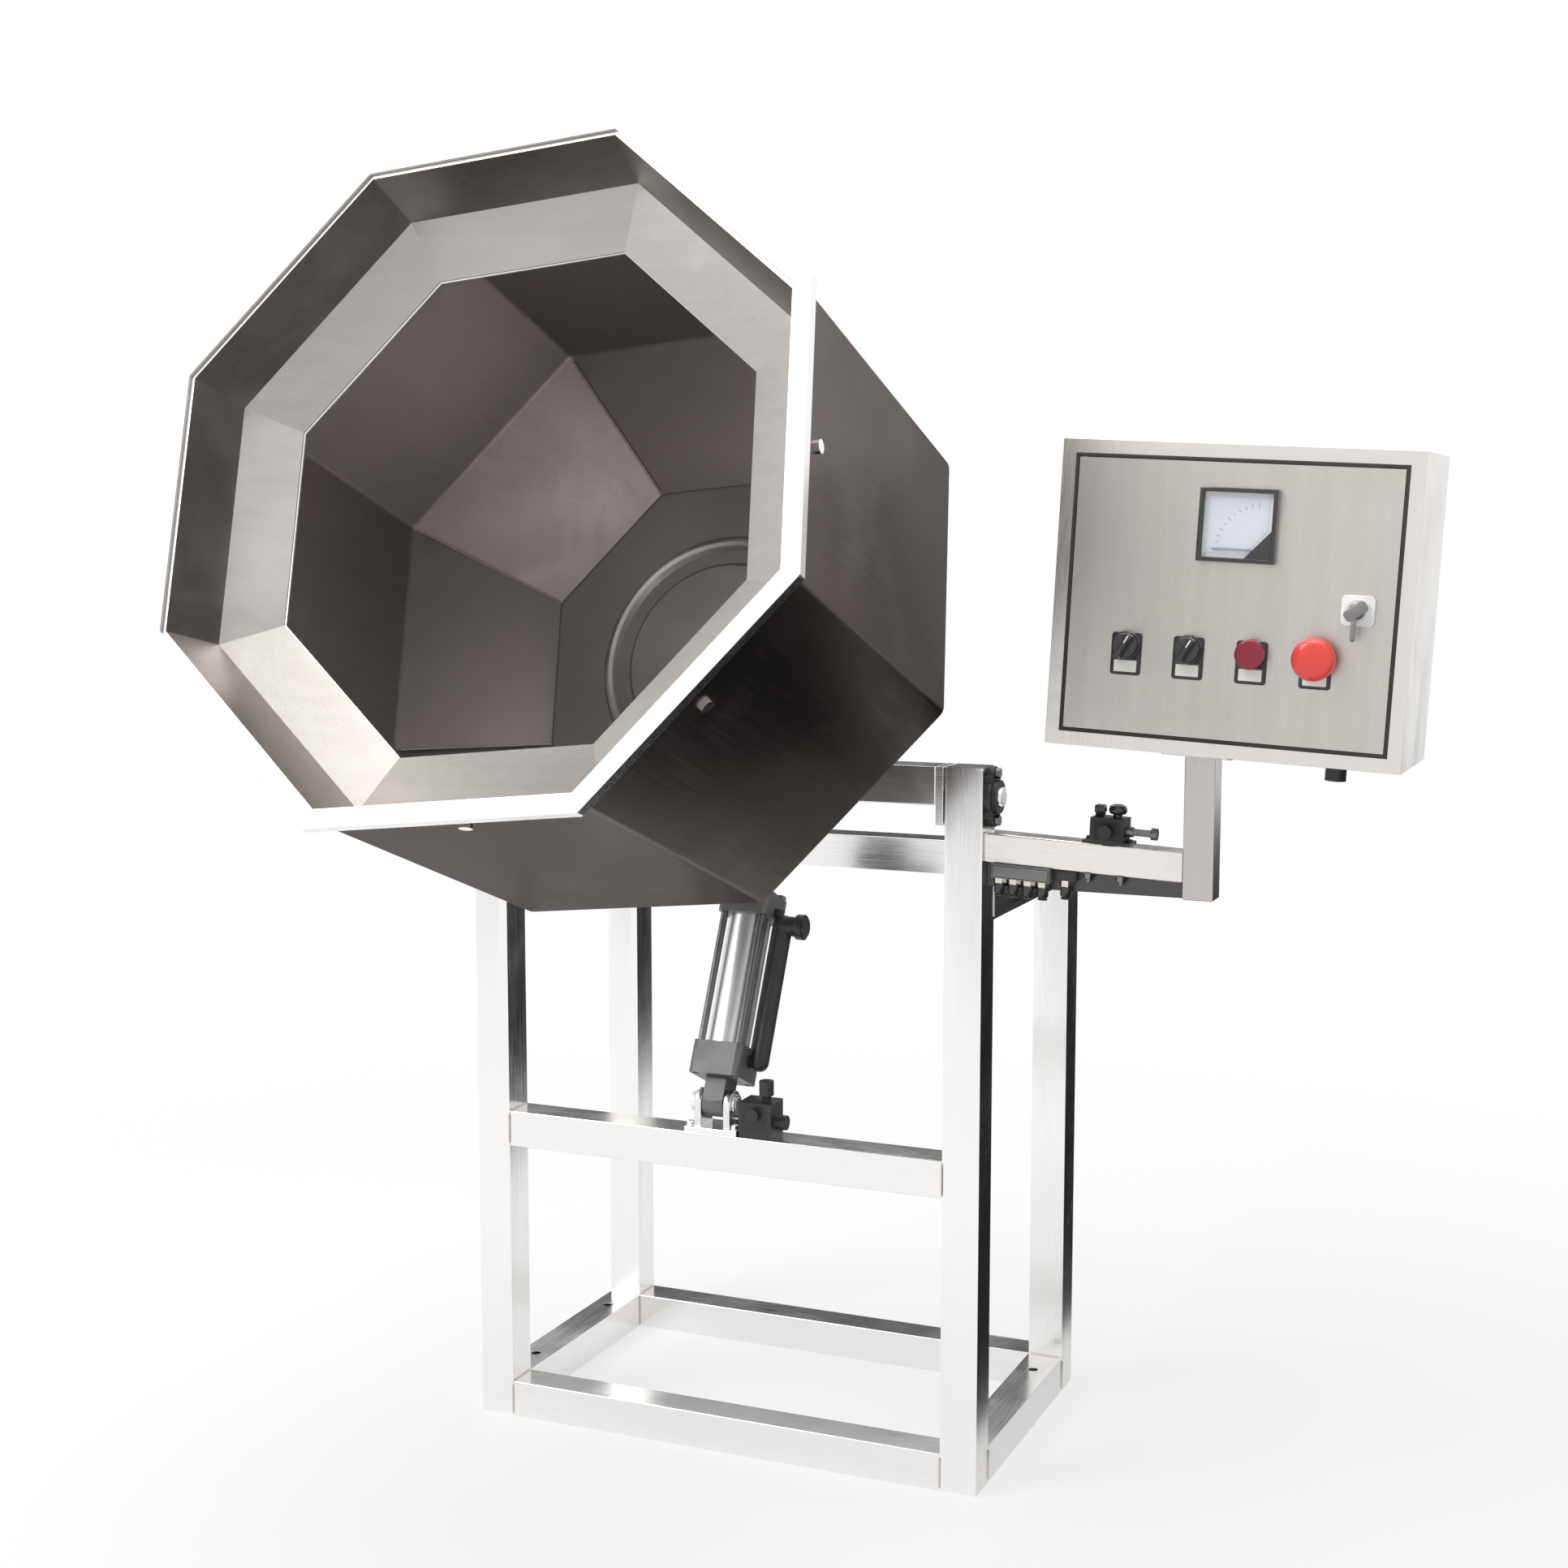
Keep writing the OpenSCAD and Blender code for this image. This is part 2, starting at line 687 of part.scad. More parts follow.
// Worm gearbox: a square cast body with round covers and the worm case below
module gearbox() {
    g = gear_side / 2;
    color(cast_grey)
    on_drive() translate([0, 0, gear_back]) {
        difference() {
            union() {
                translate([0, 0, 6]) rounded(gear_side, gear_side, 78, 22);
                cylinder(h = 90, r = 50, $fn = 96);
                for (a = [45:90:315])
                    rotate([0, 0, a]) translate([g + 3, 0, 0]) cylinder(h = 90, r = 9, $fn = 32);
                translate([0, -worm_drop, 45]) bar_x(-g - 6, g + 2, 31);
                translate([0, -worm_drop, 45]) bar_x(g, motor_x0 - 8, 46);
                translate([0, -worm_drop, 45]) bar_x(motor_x0 - 8, motor_x0, 66);
            }
            translate([0, 0, -1]) cylinder(h = 92, r = shaft_r + run, $fn = 128);
            for (z = [20, 32, 46, 58]) for (s = [-1, 1])
                translate([s * (g + 1) - 5, -12, z]) cube([10, 60, 6]);
        }
    }
}

// Motor along the worm axis with cooling fins
module motor_body()
    color(cast_grey)
    on_drive() translate([0, -worm_drop, gear_mid]) {
        bar_x(motor_x0, motor_x0 + 10, motor_r + 6);
        bar_x(motor_x0 + 10, motor_x0 + motor_l, motor_r - 8);
        // pad for the terminal box
        translate([motor_x0 + 40, -24, -motor_r]) cube([60, 48, 20]);
        for (a = [0:15:345]) rotate([a, 0, 0])
            translate([motor_x0 + 10, -1.2, motor_r - 9]) cube([motor_l - 14, 2.4, 9]);
    }

module motor_fan_cover()
    color(plastic_black)
    on_drive() translate([motor_x0 + motor_l, -worm_drop, gear_mid])
        difference() {
            union() {
                bar_x(0, 30, motor_r);
                bar_x(30, 38, motor_r - 6);
            }
            bar_x(-1, 33, motor_r - 9);
            for (r = [12:9:44]) difference() {
                bar_x(32, 40, r + 4.5);
                bar_x(31, 41, r);
                for (a = [0:60:120]) rotate([a, 0, 0]) translate([30, -80, -2]) cube([12, 160, 4]);
            }
        }

// Terminal box on the back of the motor, with its lid and gland
module terminal_box()
    color(cast_grey)
    on_drive() translate([motor_x0 + 70, -worm_drop, gear_mid - motor_r]) {
        translate([-36, -30, -22]) cube([72, 60, 22]);
        translate([-39, -33, -29]) cube([78, 66, 7]);
        translate([36, 0, -11]) bar_x(-1, 16, 9);
    }

// Drum

// Shell: eight straight walls, folded in at the back to the bottom plate
module drum_shell()
    color(steel_dark)
    on_drum()
        difference() {
            stack([[0, bottom_r], [taper_l, drum_r], [drum_l, drum_r]]);
            stack([[-taper_l / 100, inner_r - (inner_r - bottom_r + sheet * 1.35) * 1.01],
                   [taper_l, inner_r], [drum_l + 5, inner_r]]);
            for (a = [0:45:315]) rotate([0, 0, a + drum_turn])
                translate([0, 0, screw_z]) bar_x(flat_r - 20, flat_r + 5, 3.1);
        }

// Bottom plate with two pressed rings, and ribs on its back
module drum_bottom()
    color(steel_dark)
    on_drum()
        difference() {
            union() {
                translate([0, 0, -3]) octagon(3, bottom_r, bottom_r);
                rotate_extrude($fn = 128)
                    polygon([[0, -eps], [108, -eps], [104, 4], [0, 4]]);
                rotate_extrude($fn = 128)
                    polygon([[122, -eps], [126, 5], [130, 7], [134, 5], [138, -eps]]);
                for (a = [0:45:315]) rotate([0, 0, a + drum_turn + oct])
                    translate([rib_r0, -2.5, -15]) cube([bottom_r - 26 - rib_r0, 5, 12.5]);
            }
            translate([0, 0, -16]) cylinder(h = 13, r = 85.2, $fn = 96);
        }

// Folded rim around the mouth
module drum_rim()
    color(steel_bright)
    on_drum()
        difference() {
            translate([0, 0, drum_l - 8]) octagon(12, rim_r, rim_r);
            translate([0, 0, drum_l - 9]) octagon(9, drum_r + 0.2, drum_r + 0.2);
            translate([0, 0, drum_l - 10]) octagon(20, drum_r - 6, drum_r - 6);
        }

// Inner collar that keeps the load in: a steep band and a flatter lip. A hem under
// the rim and a tongue behind every wall hold it.
module drum_collar()
    color(steel)
    on_drum()
        difference() {
            union() {
                stack([[drum_l - throat_d, throat_r], [drum_l - bend_d, bend_r],
                       [drum_l - 3, drum_r - 7], [drum_l - 3 + eps, inner_r - 0.2],
                       [drum_l, inner_r - 0.2]]);
                for (a = [0:45:315]) rotate([0, 0, a + drum_turn])
                    translate([tongue_in, -14, screw_z - 10])
                        cube([tongue_t, 28, drum_l - 1 - screw_z + 10]);
            }
            stack([[drum_l - throat_d - 1, throat_r - 1], [drum_l - throat_d + 3, throat_r - 1],
                   [drum_l - bend_d + 3, bend_r - 1.6], [drum_l + 3, drum_r - 9]]);
            for (a = [0:45:315]) rotate([0, 0, a + drum_turn])
                translate([0, 0, screw_z]) bar_x(inner_flat - 8, flat_r + 5, 3.1);
        }

// One screw with its nut in every wall, behind the rim
module collar_screws()
    color(steel_bright)
    on_drum()
        for (a = [0:45:315]) rotate([0, 0, a + drum_turn]) translate([0, 0, screw_z]) {
            bar_x(flat_r, flat_r + 3.5, 6);
            bar_x(flat_r - 11, flat_r + 1, 3);
            translate([tongue_in - 4.4, 0, 0]) rotate([0, 90, 0]) hex(4.4, 9);
        }

// Hub flange and turned drive shaft
module drum_shaft()
    color(steel_bright)
    on_drum() {
        translate([0, 0, -17]) cylinder(h = 14, r = 85, $fn = 128);
        translate([0, 0, plate_back + plate_t + 7])
            cylinder(h = -17 - plate_back - plate_t - 7 + eps, r = 38, $fn = 96);
        translate([0, 0, gear_back - 8]) cylinder(h = -17 - gear_back + 8, r = shaft_r, $fn = 128);
        translate([0, 0, gear_back - 14]) cylinder(h = 8, r = shaft_r - 6, $fn = 64);
    }

// Tilt cylinder

module cyl_barrel()
    color(steel_bright)
    on_cylinder()
        difference() {
            translate([0, 0, 62]) cylinder(h = cap_z - 62, r = barrel_r, $fn = 96);
            translate([0, 0, 61]) cylinder(h = cap_z - 60, r = barrel_r - 3.5, $fn = 96);
        }

// Rear cap with its eye on the foot pin, and front cap with the rod gland
module cyl_caps() {
    c = cap_side;
    color(steel)
    on_cylinder() {
        difference() {
            union() {
                translate([0, 0, 26]) rounded(c, c, 36, 6);
                translate([-12, -15, 0]) cube([24, 30, 27]);
                bar_x(-12, 12, 15);
            }
            bar_x(-20, 20, pin_r + run);
            for (sx = [-1, 1], sy = [-1, 1])
                translate([sx * rod_off, sy * rod_off, 20]) cylinder(h = 60, r = 4.1, $fn = 32);
        }
        difference() {
            union() {
                translate([0, 0, cap_z]) rounded(c, c, 28, 6);
                translate([0, 0, cap_z + 27]) cylinder(h = 10, r = 17, $fn = 64);
            }
            translate([0, 0, cap_z - 8]) cylinder(h = 60, r = rod_r + run, $fn = 96);
            for (sx = [-1, 1], sy = [-1, 1])
                translate([sx * rod_off, sy * rod_off, cap_z - 8]) cylinder(h = 60, r = 4.1, $fn = 32);
        }
    }
}

module cyl_tie_rods()
    color(steel_bright)
    on_cylinder()
        for (sx = [-1, 1], sy = [-1, 1]) translate([sx * rod_off, sy * rod_off, 0]) {
            translate([0, 0, 28]) cylinder(h = cap_z + 6, r = 4, $fn = 32);
            translate([0, 0, cap_z + 28]) hex(5, 11);
        }

// Air pipe strapped beside the barrel, with an elbow at its top
module air_pipe()
    color(plastic_black)
    on_cylinder() {
        translate([41, 0, 48]) cylinder(h = cap_z - 54, r = 10, $fn = 48);
        translate([41, 0, 48]) sphere(r = 10, $fn = 48);
        translate([0, 0, 48]) bar_x(cap_side / 2, 41, 7);
        translate([0, 0, cap_z - 6]) {
            translate([41, 0, 0]) sphere(r = 12, $fn = 48);
            bar_x(41, 68, 11);
            bar_x(58, 66, 14);
            translate([0, 0, 14]) bar_x(cap_side / 2, 36, 5);
        }
    }

module cyl_rod()
    color([0.90, 0.90, 0.91])
    on_cylinder() {
        translate([0, 0, 92]) cylinder(h = cyl_pins - 125, r = rod_r, $fn = 96);
        translate([0, 0, 91]) cylinder(h = 16, r = barrel_r - 3.5 - run, $fn = 96);
    }

module rod_eye()
    color(steel_dark)
    on_cylinder()
        difference() {
            union() {
                translate([0, 0, cyl_pins]) bar_x(-17, 17, 16);
                translate([-13, -13, cyl_pins - 51]) cube([26, 26, 51]);
            }
            translate([0, 0, cyl_pins]) bar_x(-30, 30, pin_r + run);
            translate([0, 0, cyl_pins - 65]) cylinder(h = 32.2, r = rod_r + run, $fn = 64);
        }

module rod_pin()
    color(steel_bright)
    on_cylinder() translate([0, 0, cyl_pins]) {
        bar_x(-33, 36, pin_r);
        bar_x(-38, -31, pin_r + 4);
        bar_x(31.5, 34, pin_r + 4);
    }

front_leg_left();
front_leg_right();
rear_leg_left();
rear_leg_right();
front_bottom_rail();
rear_bottom_rail();
side_bottom_rails();
mid_crossbar();
rear_top_rail();
side_top_rails();
tube_plugs();
pivot_bearings();
pivot_bolts();
foot_bracket();
foot_pin();
flow_valve();
control_arm();
arm_brace();
control_post();
box_shell();
cable_gland();
hand_valve();
valve_lever();
box_door();
door_pins();
meter_case();
meter_face();
meter_needle();
legend_plates();
button_bezels();
selector_left();
selector_right();
push_button();
stop_button();
lock_plate();
lock_key();
tilt_beam();
tilt_stubs();
cradle_plate();
cradle_gussets();
cylinder_lugs();
hub_housing();
hub_bolts();
gearbox();
motor_body();
motor_fan_cover();
terminal_box();
drum_shell();
drum_bottom();
drum_rim();
drum_collar();
collar_screws();
drum_shaft();
cyl_barrel();
cyl_caps();
cyl_tie_rods();
air_pipe();
cyl_rod();
rod_eye();
rod_pin();
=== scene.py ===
"""Looks of a tilting seasoning drum mixer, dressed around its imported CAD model."""

import logging
import math
from collections.abc import Callable, Iterator, Sequence
from contextlib import contextmanager
from dataclasses import dataclass, field
from enum import Enum
from typing import ClassVar

import bmesh
import bpy
from mathutils import Matrix, Vector


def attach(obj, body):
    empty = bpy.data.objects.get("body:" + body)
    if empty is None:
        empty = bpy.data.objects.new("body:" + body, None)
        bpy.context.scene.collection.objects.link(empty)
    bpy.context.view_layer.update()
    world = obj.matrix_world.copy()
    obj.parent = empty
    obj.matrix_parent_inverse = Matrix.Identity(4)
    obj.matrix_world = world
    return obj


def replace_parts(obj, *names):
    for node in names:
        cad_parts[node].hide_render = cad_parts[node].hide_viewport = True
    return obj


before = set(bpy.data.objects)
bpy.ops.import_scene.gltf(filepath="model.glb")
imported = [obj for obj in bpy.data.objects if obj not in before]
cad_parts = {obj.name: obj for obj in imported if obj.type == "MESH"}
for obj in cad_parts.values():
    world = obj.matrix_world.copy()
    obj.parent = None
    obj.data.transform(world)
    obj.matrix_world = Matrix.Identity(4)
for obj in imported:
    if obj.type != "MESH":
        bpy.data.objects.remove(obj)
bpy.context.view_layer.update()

LOG = logging.getLogger("drum_mixer")
MM = 0.001
BOTH = (-1, 1)

Point = tuple[float, float, float]
Colour = tuple[float, float, float]
Rings = Sequence[tuple[float, float]]
Test = Callable[[Vector, Vector], bool]


def moved(x: float, y: float, z: float) -> Matrix:
    """Give a shift."""
    return Matrix.Translation((x, y, z))


def turned(degrees: float, axis: str) -> Matrix:
    """Give a turn about an axis through the origin."""
    return Matrix.Rotation(math.radians(degrees), 4, axis)


# Frames of the sub-assemblies, as the CAD places them
MOUTH_TILT = 20.2
MACHINE_FRAME = Matrix.Identity(4)
DRUM_FRAME = moved(0, -0.0025764, 0.8640088) @ turned(90 - MOUTH_TILT, "X")
DRIVE_FRAME = DRUM_FRAME @ Matrix.Scale(-1, 4, (1, 0, 0))
BOX_FRAME = moved(0.552, 0, 0.9325) @ turned(3, "Y")
CYLINDER_FRAME = moved(-0.008, 0, 0.384) @ turned(-25.2, "X")
ARM_FRAME = moved(0.292, 0, 0.682) @ turned(2.6, "Y")

UPSIDE_DOWN = turned(180, "X")


# Node trees


class Graph:
    """Adds, feeds and links the nodes of one tree."""

    def __init__(self, tree: bpy.types.NodeTree) -> None:
        """Take the tree."""
        self.tree = tree

    def feed(self, socket: bpy.types.NodeSocket, value: object) -> None:
        """Link an input to another socket, or give it a constant.

        Args:
            socket: The input.
            value: A socket or a constant; a colour gets its alpha here.
        """
        if isinstance(value, bpy.types.NodeSocket):
            self.tree.links.new(value, socket)
        elif socket.type == "RGBA":
            socket.default_value = (*value, 1.0)
        else:
            socket.default_value = value

    def node(
        self, kind: str, values: dict[str | int, object] | None = None, **settings: object
    ) -> bpy.types.Node:
        """Add a node.

        Args:
            kind: Its type, without the leading ShaderNode.
            values: What its inputs take, by name or number: sockets or constants.
            settings: Its properties.

        Returns:
            The node.
        """
        made = self.tree.nodes.new(f"ShaderNode{kind}")
        for key, value in settings.items():
            setattr(made, key, value)
        for key, value in (values or {}).items():
            self.feed(made.inputs[key], value)
        return made

    def math(self, kind: str, first: object, second: object) -> bpy.types.NodeSocket:
        """Combine two values, each a socket or a number."""
        return self.node("Math", {0: first, 1: second}, operation=kind).outputs[0]

    def ranged(
        self,
        value: bpy.types.NodeSocket,
        source: tuple[object, object] = (0.0, 1.0),
        target: tuple[float, float] = (0.0, 1.0),
        step: str = "LINEAR",
    ) -> bpy.types.NodeSocket:
        """Stretch a value from one range to another.

        Args:
            value: The socket to stretch.
            source: Its low and high end, as sockets or numbers.
            target: What these ends become.
            step: The shape of the change between them.

        Returns:
            The stretched socket.
        """
        ends = zip(("From Min", "From Max", "To Min", "To Max"), (*source, *target))
        made = self.node("MapRange", {"Value": value, **dict(ends)}, interpolation_type=step)
        return made.outputs["Result"]


class EffectGroup(Graph):
    """A shader node group that is built once and placed in many materials."""

    def __init__(
        self, name: str, inputs: dict[str, float | Point], outputs: Sequence[str]
    ) -> None:
        """Open the group and make its sockets.

        Args:
            name: The group's name.
            inputs: Socket names with their defaults; a triple makes a vector.
            outputs: Names of the value outputs.
        """
        super().__init__(bpy.data.node_groups.new(name, "ShaderNodeTree"))
        for key, default in inputs.items():
            kind = "NodeSocketFloat" if isinstance(default, float) else "NodeSocketVector"
            socket = self.tree.interface.new_socket(key, in_out="INPUT", socket_type=kind)
            socket.default_value = default
        for key in outputs:
            self.tree.interface.new_socket(key, in_out="OUTPUT", socket_type="NodeSocketFloat")
        self.given = self.tree.nodes.new("NodeGroupInput").outputs
        self.result = self.tree.nodes.new("NodeGroupOutput").inputs

    def spread(
        self, value: bpy.types.NodeSocket, low: float, high: float
    ) -> bpy.types.NodeSocket:
        """Stretch a value with a soft step, so that low becomes 0 and high becomes 1."""
        return self.ranged(value, (low, high), step="SMOOTHSTEP")

    def give(self, **values: bpy.types.NodeSocket) -> bpy.types.NodeTree:
        """Feed the group's outputs.

        Args:
            values: The socket that each output takes.

        Returns:
            The group's tree.
        """
        for key, value in values.items():
            self.feed(self.result[key], value)
        return self.tree


def brush_group() -> bpy.types.NodeTree:
    """Build fine parallel polishing marks.

    Returns:
        The group, with a fine Grain, a broad Band and a Height.
    """
    inputs = {"Vector": (0.0, 0.0, 0.0), "Stretch": (1.0, 1.0, 0.02), "Fineness": 900.0}
    g = EffectGroup("BrushMarks", inputs, ("Grain", "Band", "Height"))
    stretched = {0: g.given["Vector"], 1: g.given["Stretch"]}
    along = g.node("VectorMath", stretched, operation="MULTIPLY").outputs[0]
    look = {"Vector": along, "Scale": g.given["Fineness"], "Detail": 3.0, "Roughness": 0.65}
    fine = g.node("TexNoise", look).outputs["Fac"]
    coarse = g.math("MULTIPLY", g.given["Fineness"], 0.06)
    look = {"Vector": along, "Scale": coarse, "Detail": 2.0}
    broad = g.node("TexNoise", look).outputs["Fac"]
    return g.give(Grain=g.spread(fine, 0.3, 0.7), Band=g.spread(broad, 0.3, 0.7), Height=fine)


def ring_group() -> bpy.types.NodeTree:
    """Build turning marks around a piece's own Z axis.

    Returns:
        The group, with a Grain and a Height that change only with the radius.
    """
    inputs = {"Vector": (0.0, 0.0, 0.0), "Fineness": 700.0}
    g = EffectGroup("TurningMarks", inputs, ("Grain", "Height"))
    flattened = {0: g.given["Vector"], 1: (1.0, 1.0, 0.0)}
    flat = g.node("VectorMath", flattened, operation="MULTIPLY").outputs[0]
    radius = g.node("VectorMath", {0: flat}, operation="LENGTH").outputs["Value"]
    look = {"W": radius, "Scale": g.given["Fineness"], "Detail": 3.0}
    noise = g.node("TexNoise", look, noise_dimensions="1D").outputs["Fac"]
    return g.give(Grain=g.spread(noise, 0.3, 0.7), Height=noise)


def handling_group() -> bpy.types.NodeTree:
    """Build the cloudy marks of cleaning and hands.

    Returns:
        The group, with a Mask.
    """
    g = EffectGroup("HandlingMarks", {"Vector": (0.0, 0.0, 0.0), "Size": 9.0}, ("Mask",))
    look = {"Detail": 5.0, "Roughness": 0.6, "Distortion": 0.6}
    spots = {"Vector": g.given["Vector"], "Scale": g.given["Size"]}
    cloud = g.node("TexNoise", {**spots, **look}).outputs["Fac"]
    return g.give(Mask=g.spread(cloud, 0.42, 0.72))


def speckle_group() -> bpy.types.NodeTree:
    """Build the fine grain of a casting or a moulding.

    Returns:
        The group, with a Speck and a Height.
    """
    inputs = {"Vector": (0.0, 0.0, 0.0), "Size": 500.0}
    g = EffectGroup("FineSpeckle", inputs, ("Speck", "Height"))
    look = {"Vector": g.given["Vector"], "Scale": g.given["Size"], "Detail": 4.0}
    noise = g.node("TexNoise", look).outputs["Fac"]
    coarse = g.math("MULTIPLY", g.given["Size"], 0.6)
    cells = g.node("TexVoronoi", {"Vector": g.given["Vector"], "Scale": coarse})
    height = g.math("MULTIPLY", noise, cells.outputs["Distance"])
    return g.give(Speck=g.spread(noise, 0.35, 0.7), Height=height)


def edge_group() -> bpy.types.NodeTree:
    """Build a mask of the outer edges: worn edges on paint, pale edges on plastic and a painted
    highlight on polished metal.

    Returns:
        The group, with a Mask of the outer edges.
    """
    g = EffectGroup("EdgeWearAndHighlight", {"Low": 0.505, "High": 0.56}, ("Mask",))
    pointed = g.node("NewGeometry").outputs["Pointiness"]
    return g.give(Mask=g.ranged(pointed, (g.given["Low"], g.given["High"])))


@dataclass
class Effects:
    """The shared effects, built once."""

    brush: bpy.types.NodeTree = field(default_factory=brush_group)
    ring: bpy.types.NodeTree = field(default_factory=ring_group)
    handling: bpy.types.NodeTree = field(default_factory=handling_group)
    speckle: bpy.types.NodeTree = field(default_factory=speckle_group)
    edge: bpy.types.NodeTree = field(default_factory=edge_group)


class Painter(Graph):
    """Builds one material around a Principled shader."""

    def __init__(self, name: str, effects: Effects, turn: Matrix = MACHINE_FRAME) -> None:
        """Open the material.

        Args:
            name: The material's name.
            effects: The shared effects.
            turn: The frame whose axes the pattern follows.
        """
        self.material = bpy.data.materials.new(name)
        self.material.use_nodes = True
        super().__init__(self.material.node_tree)
        self.shader = self.tree.nodes["Principled BSDF"]
        self.effects = effects
        inverse = turn.inverted()
        place = {
            "Vector": self.node("TexCoord").outputs["Object"],
            "Rotation": inverse.to_euler(),
            "Location": inverse.translation,
        }
        self.place = self.node("Mapping", place).outputs["Vector"]

    def effect(self, group: bpy.types.NodeTree, **values: object) -> bpy.types.NodeOutputs:
        """Place a shared effect on the piece's coordinates.

        Args:
            group: The effect.
            values: What its inputs take.

        Returns:
            Its outputs.
        """
        made = self.node("Group", node_tree=group)
        if "Vector" in made.inputs:
            values["Vector"] = self.place
        for key, value in values.items():
            self.feed(made.inputs[key], value)
        return made.outputs

    def scaled(
        self, value: bpy.types.NodeSocket, low: float, high: float
    ) -> bpy.types.NodeSocket:
        """Turn a 0 to 1 value into low to high."""
        return self.ranged(value, target=(low, high))

    def blend(
        self, mask: bpy.types.NodeSocket, first: object, second: object
    ) -> bpy.types.NodeSocket:
        """Mix two colours or sockets: a mask of 0 gives the first, 1 the second."""
        colours = {"Factor": mask, 6: first, 7: second}
        return self.node("Mix", colours, data_type="RGBA").outputs[2]

    def shade(self, values: dict[str, object]) -> None:
        """Feed the shader's inputs."""
        for key, value in values.items():
            self.feed(self.shader.inputs[key], value)

    def bump(self, height: bpy.types.NodeSocket, strength: float, distance: float) -> None:
        """Put a relief on the shader."""
        relief = {"Strength": strength, "Distance": distance, "Height": height}
        self.shade({"Normal": self.node("Bump", relief).outputs["Normal"]})


# Finishes


class Grain(Enum):
    """Which way the polishing marks of a metal run, in its own frame."""

    ALONG_X = (0.02, 1.0, 1.0)
    ALONG_Y = (1.0, 0.02, 1.0)
    ALONG_Z = (1.0, 1.0, 0.02)
    TURNED = (0.0, 0.0, 1.0)


@dataclass(frozen=True)
class Finish:
    """What every finish has: a name, a colour and the frame that its pattern follows."""

    name: str
    colour: Colour
    turn: Matrix = field(default_factory=lambda: MACHINE_FRAME, kw_only=True)

    def wire(self, p: Painter) -> None:
        """Wire the pattern to the shader."""
        raise NotImplementedError

    def make(self, effects: Effects) -> bpy.types.Material:
        """Build the material.

        Args:
            effects: The shared effects.

        Returns:
            The material.
        """
        p = Painter(self.name, effects, self.turn)
        self.wire(p)
        return p.material


@dataclass(frozen=True)
class PolishedSteel(Finish):
    """Stainless steel with visible polishing marks."""

    shade: Colour
    roughness: float = 0.3
    grain: Grain = Grain.ALONG_Z
    fineness: float = 900.0
    relief: float = 0.06
    hazed: float = 0.12
    grazing: float = 1.0
    # How far the painted edge highlight lightens the colour.
    edge_light: float = 0.8

    def wire(self, p: Painter) -> None:
        """Wire the marks, a haze of handling and a painted highlight on the edges.

        Args:
            p: The material's painter.
        """
        if self.grain is Grain.TURNED:
            marks = p.effect(p.effects.ring, Fineness=self.fineness)
            band = p.effect(p.effects.handling, Size=5.0)["Mask"]
        else:
            marks = p.effect(p.effects.brush, Stretch=self.grain.value, Fineness=self.fineness)
            band = marks["Band"]
        cloud = p.effect(p.effects.handling, Size=7.0)["Mask"]
        edge = p.effect(p.effects.edge)["Mask"]
        # A paler copy of the colour on the outer edges: painted highlight.
        bright = tuple(min(1.0, c * 1.18 + 0.04) for c in self.colour)
        tone = p.blend(p.scaled(marks["Grain"], 0.0, 0.45), self.colour, self.shade)
        tone = p.blend(p.scaled(band, 0.0, 0.35), tone, self.shade)
        rough = p.scaled(marks["Grain"], self.roughness - 0.04, self.roughness + 0.05)
        p.shade({
            "Base Color": p.blend(p.scaled(edge, 0.0, self.edge_light), tone, bright),
            "Roughness": p.math("ADD", rough, p.scaled(cloud, 0.0, self.hazed)),
            "Metallic": 1.0,
            "Specular Tint": (self.grazing,) * 3,
        })
        p.bump(marks["Height"], self.relief, 0.0004)


@dataclass(frozen=True)
class CastPaint(Finish):
    """Painted casting with a fine orange peel."""

    shade: Colour
    roughness: float = 0.42
    size: float = 420.0
    relief: float = 0.2
    metallic: float = 0.0
    coat: float = 0.15
    worn: Colour = (0.55, 0.55, 0.56)

    def wire(self, p: Painter) -> None:
        """Wire the orange peel, the grime and the worn edges.

        Args:
            p: The material's painter.
        """
        speck = p.effect(p.effects.speckle, Size=self.size)
        cloud = p.effect(p.effects.handling, Size=16.0)["Mask"]
        edge = p.effect(p.effects.edge, Low=0.52, High=0.6)["Mask"]
        tone = p.blend(p.scaled(speck["Speck"], 0.0, 0.5), self.colour, self.shade)
        tone = p.blend(p.scaled(cloud, 0.0, 0.4), tone, self.shade)
        p.shade({
            "Base Color": p.blend(p.scaled(edge, 0.0, 0.5), tone, self.worn),
            "Roughness": p.scaled(cloud, self.roughness - 0.06, self.roughness + 0.12),
            "Metallic": self.metallic,
            "Coat Weight": self.coat,
        })
        p.bump(speck["Height"], self.relief, 0.0006)


@dataclass(frozen=True)
class MouldedPlastic(Finish):
    """Moulded plastic with a faint spark-eroded grain."""

    roughness: float = 0.4
    coat: float = 0.0
    grain: float = 1400.0
    relief: float = 0.08

    def wire(self, p: Painter) -> None:
        """Wire the grain and the pale edges.

        Args:
            p: The material's painter.
        """
        speck = p.effect(p.effects.speckle, Size=self.grain)
        cloud = p.effect(p.effects.handling, Size=30.0)["Mask"]
        edge = p.effect(p.effects.edge, Low=0.51, High=0.6)["Mask"]
        pale = tuple(min(1.0, c * 1.25 + 0.03) for c in self.colour)
        dim = tuple(c * 0.82 for c in self.colour)
        tone = p.blend(p.scaled(speck["Speck"], 0.0, 0.4), self.colour, dim)
        p.shade({
            "Base Color": p.blend(p.scaled(edge, 0.0, 0.5), tone, pale),
            "Roughness": p.scaled(cloud, self.roughness - 0.05, self.roughness + 0.12),
            "Coat Weight": self.coat,
            "Coat Roughness": 0.12,
        })
        p.bump(speck["Height"], self.relief, 0.0003)


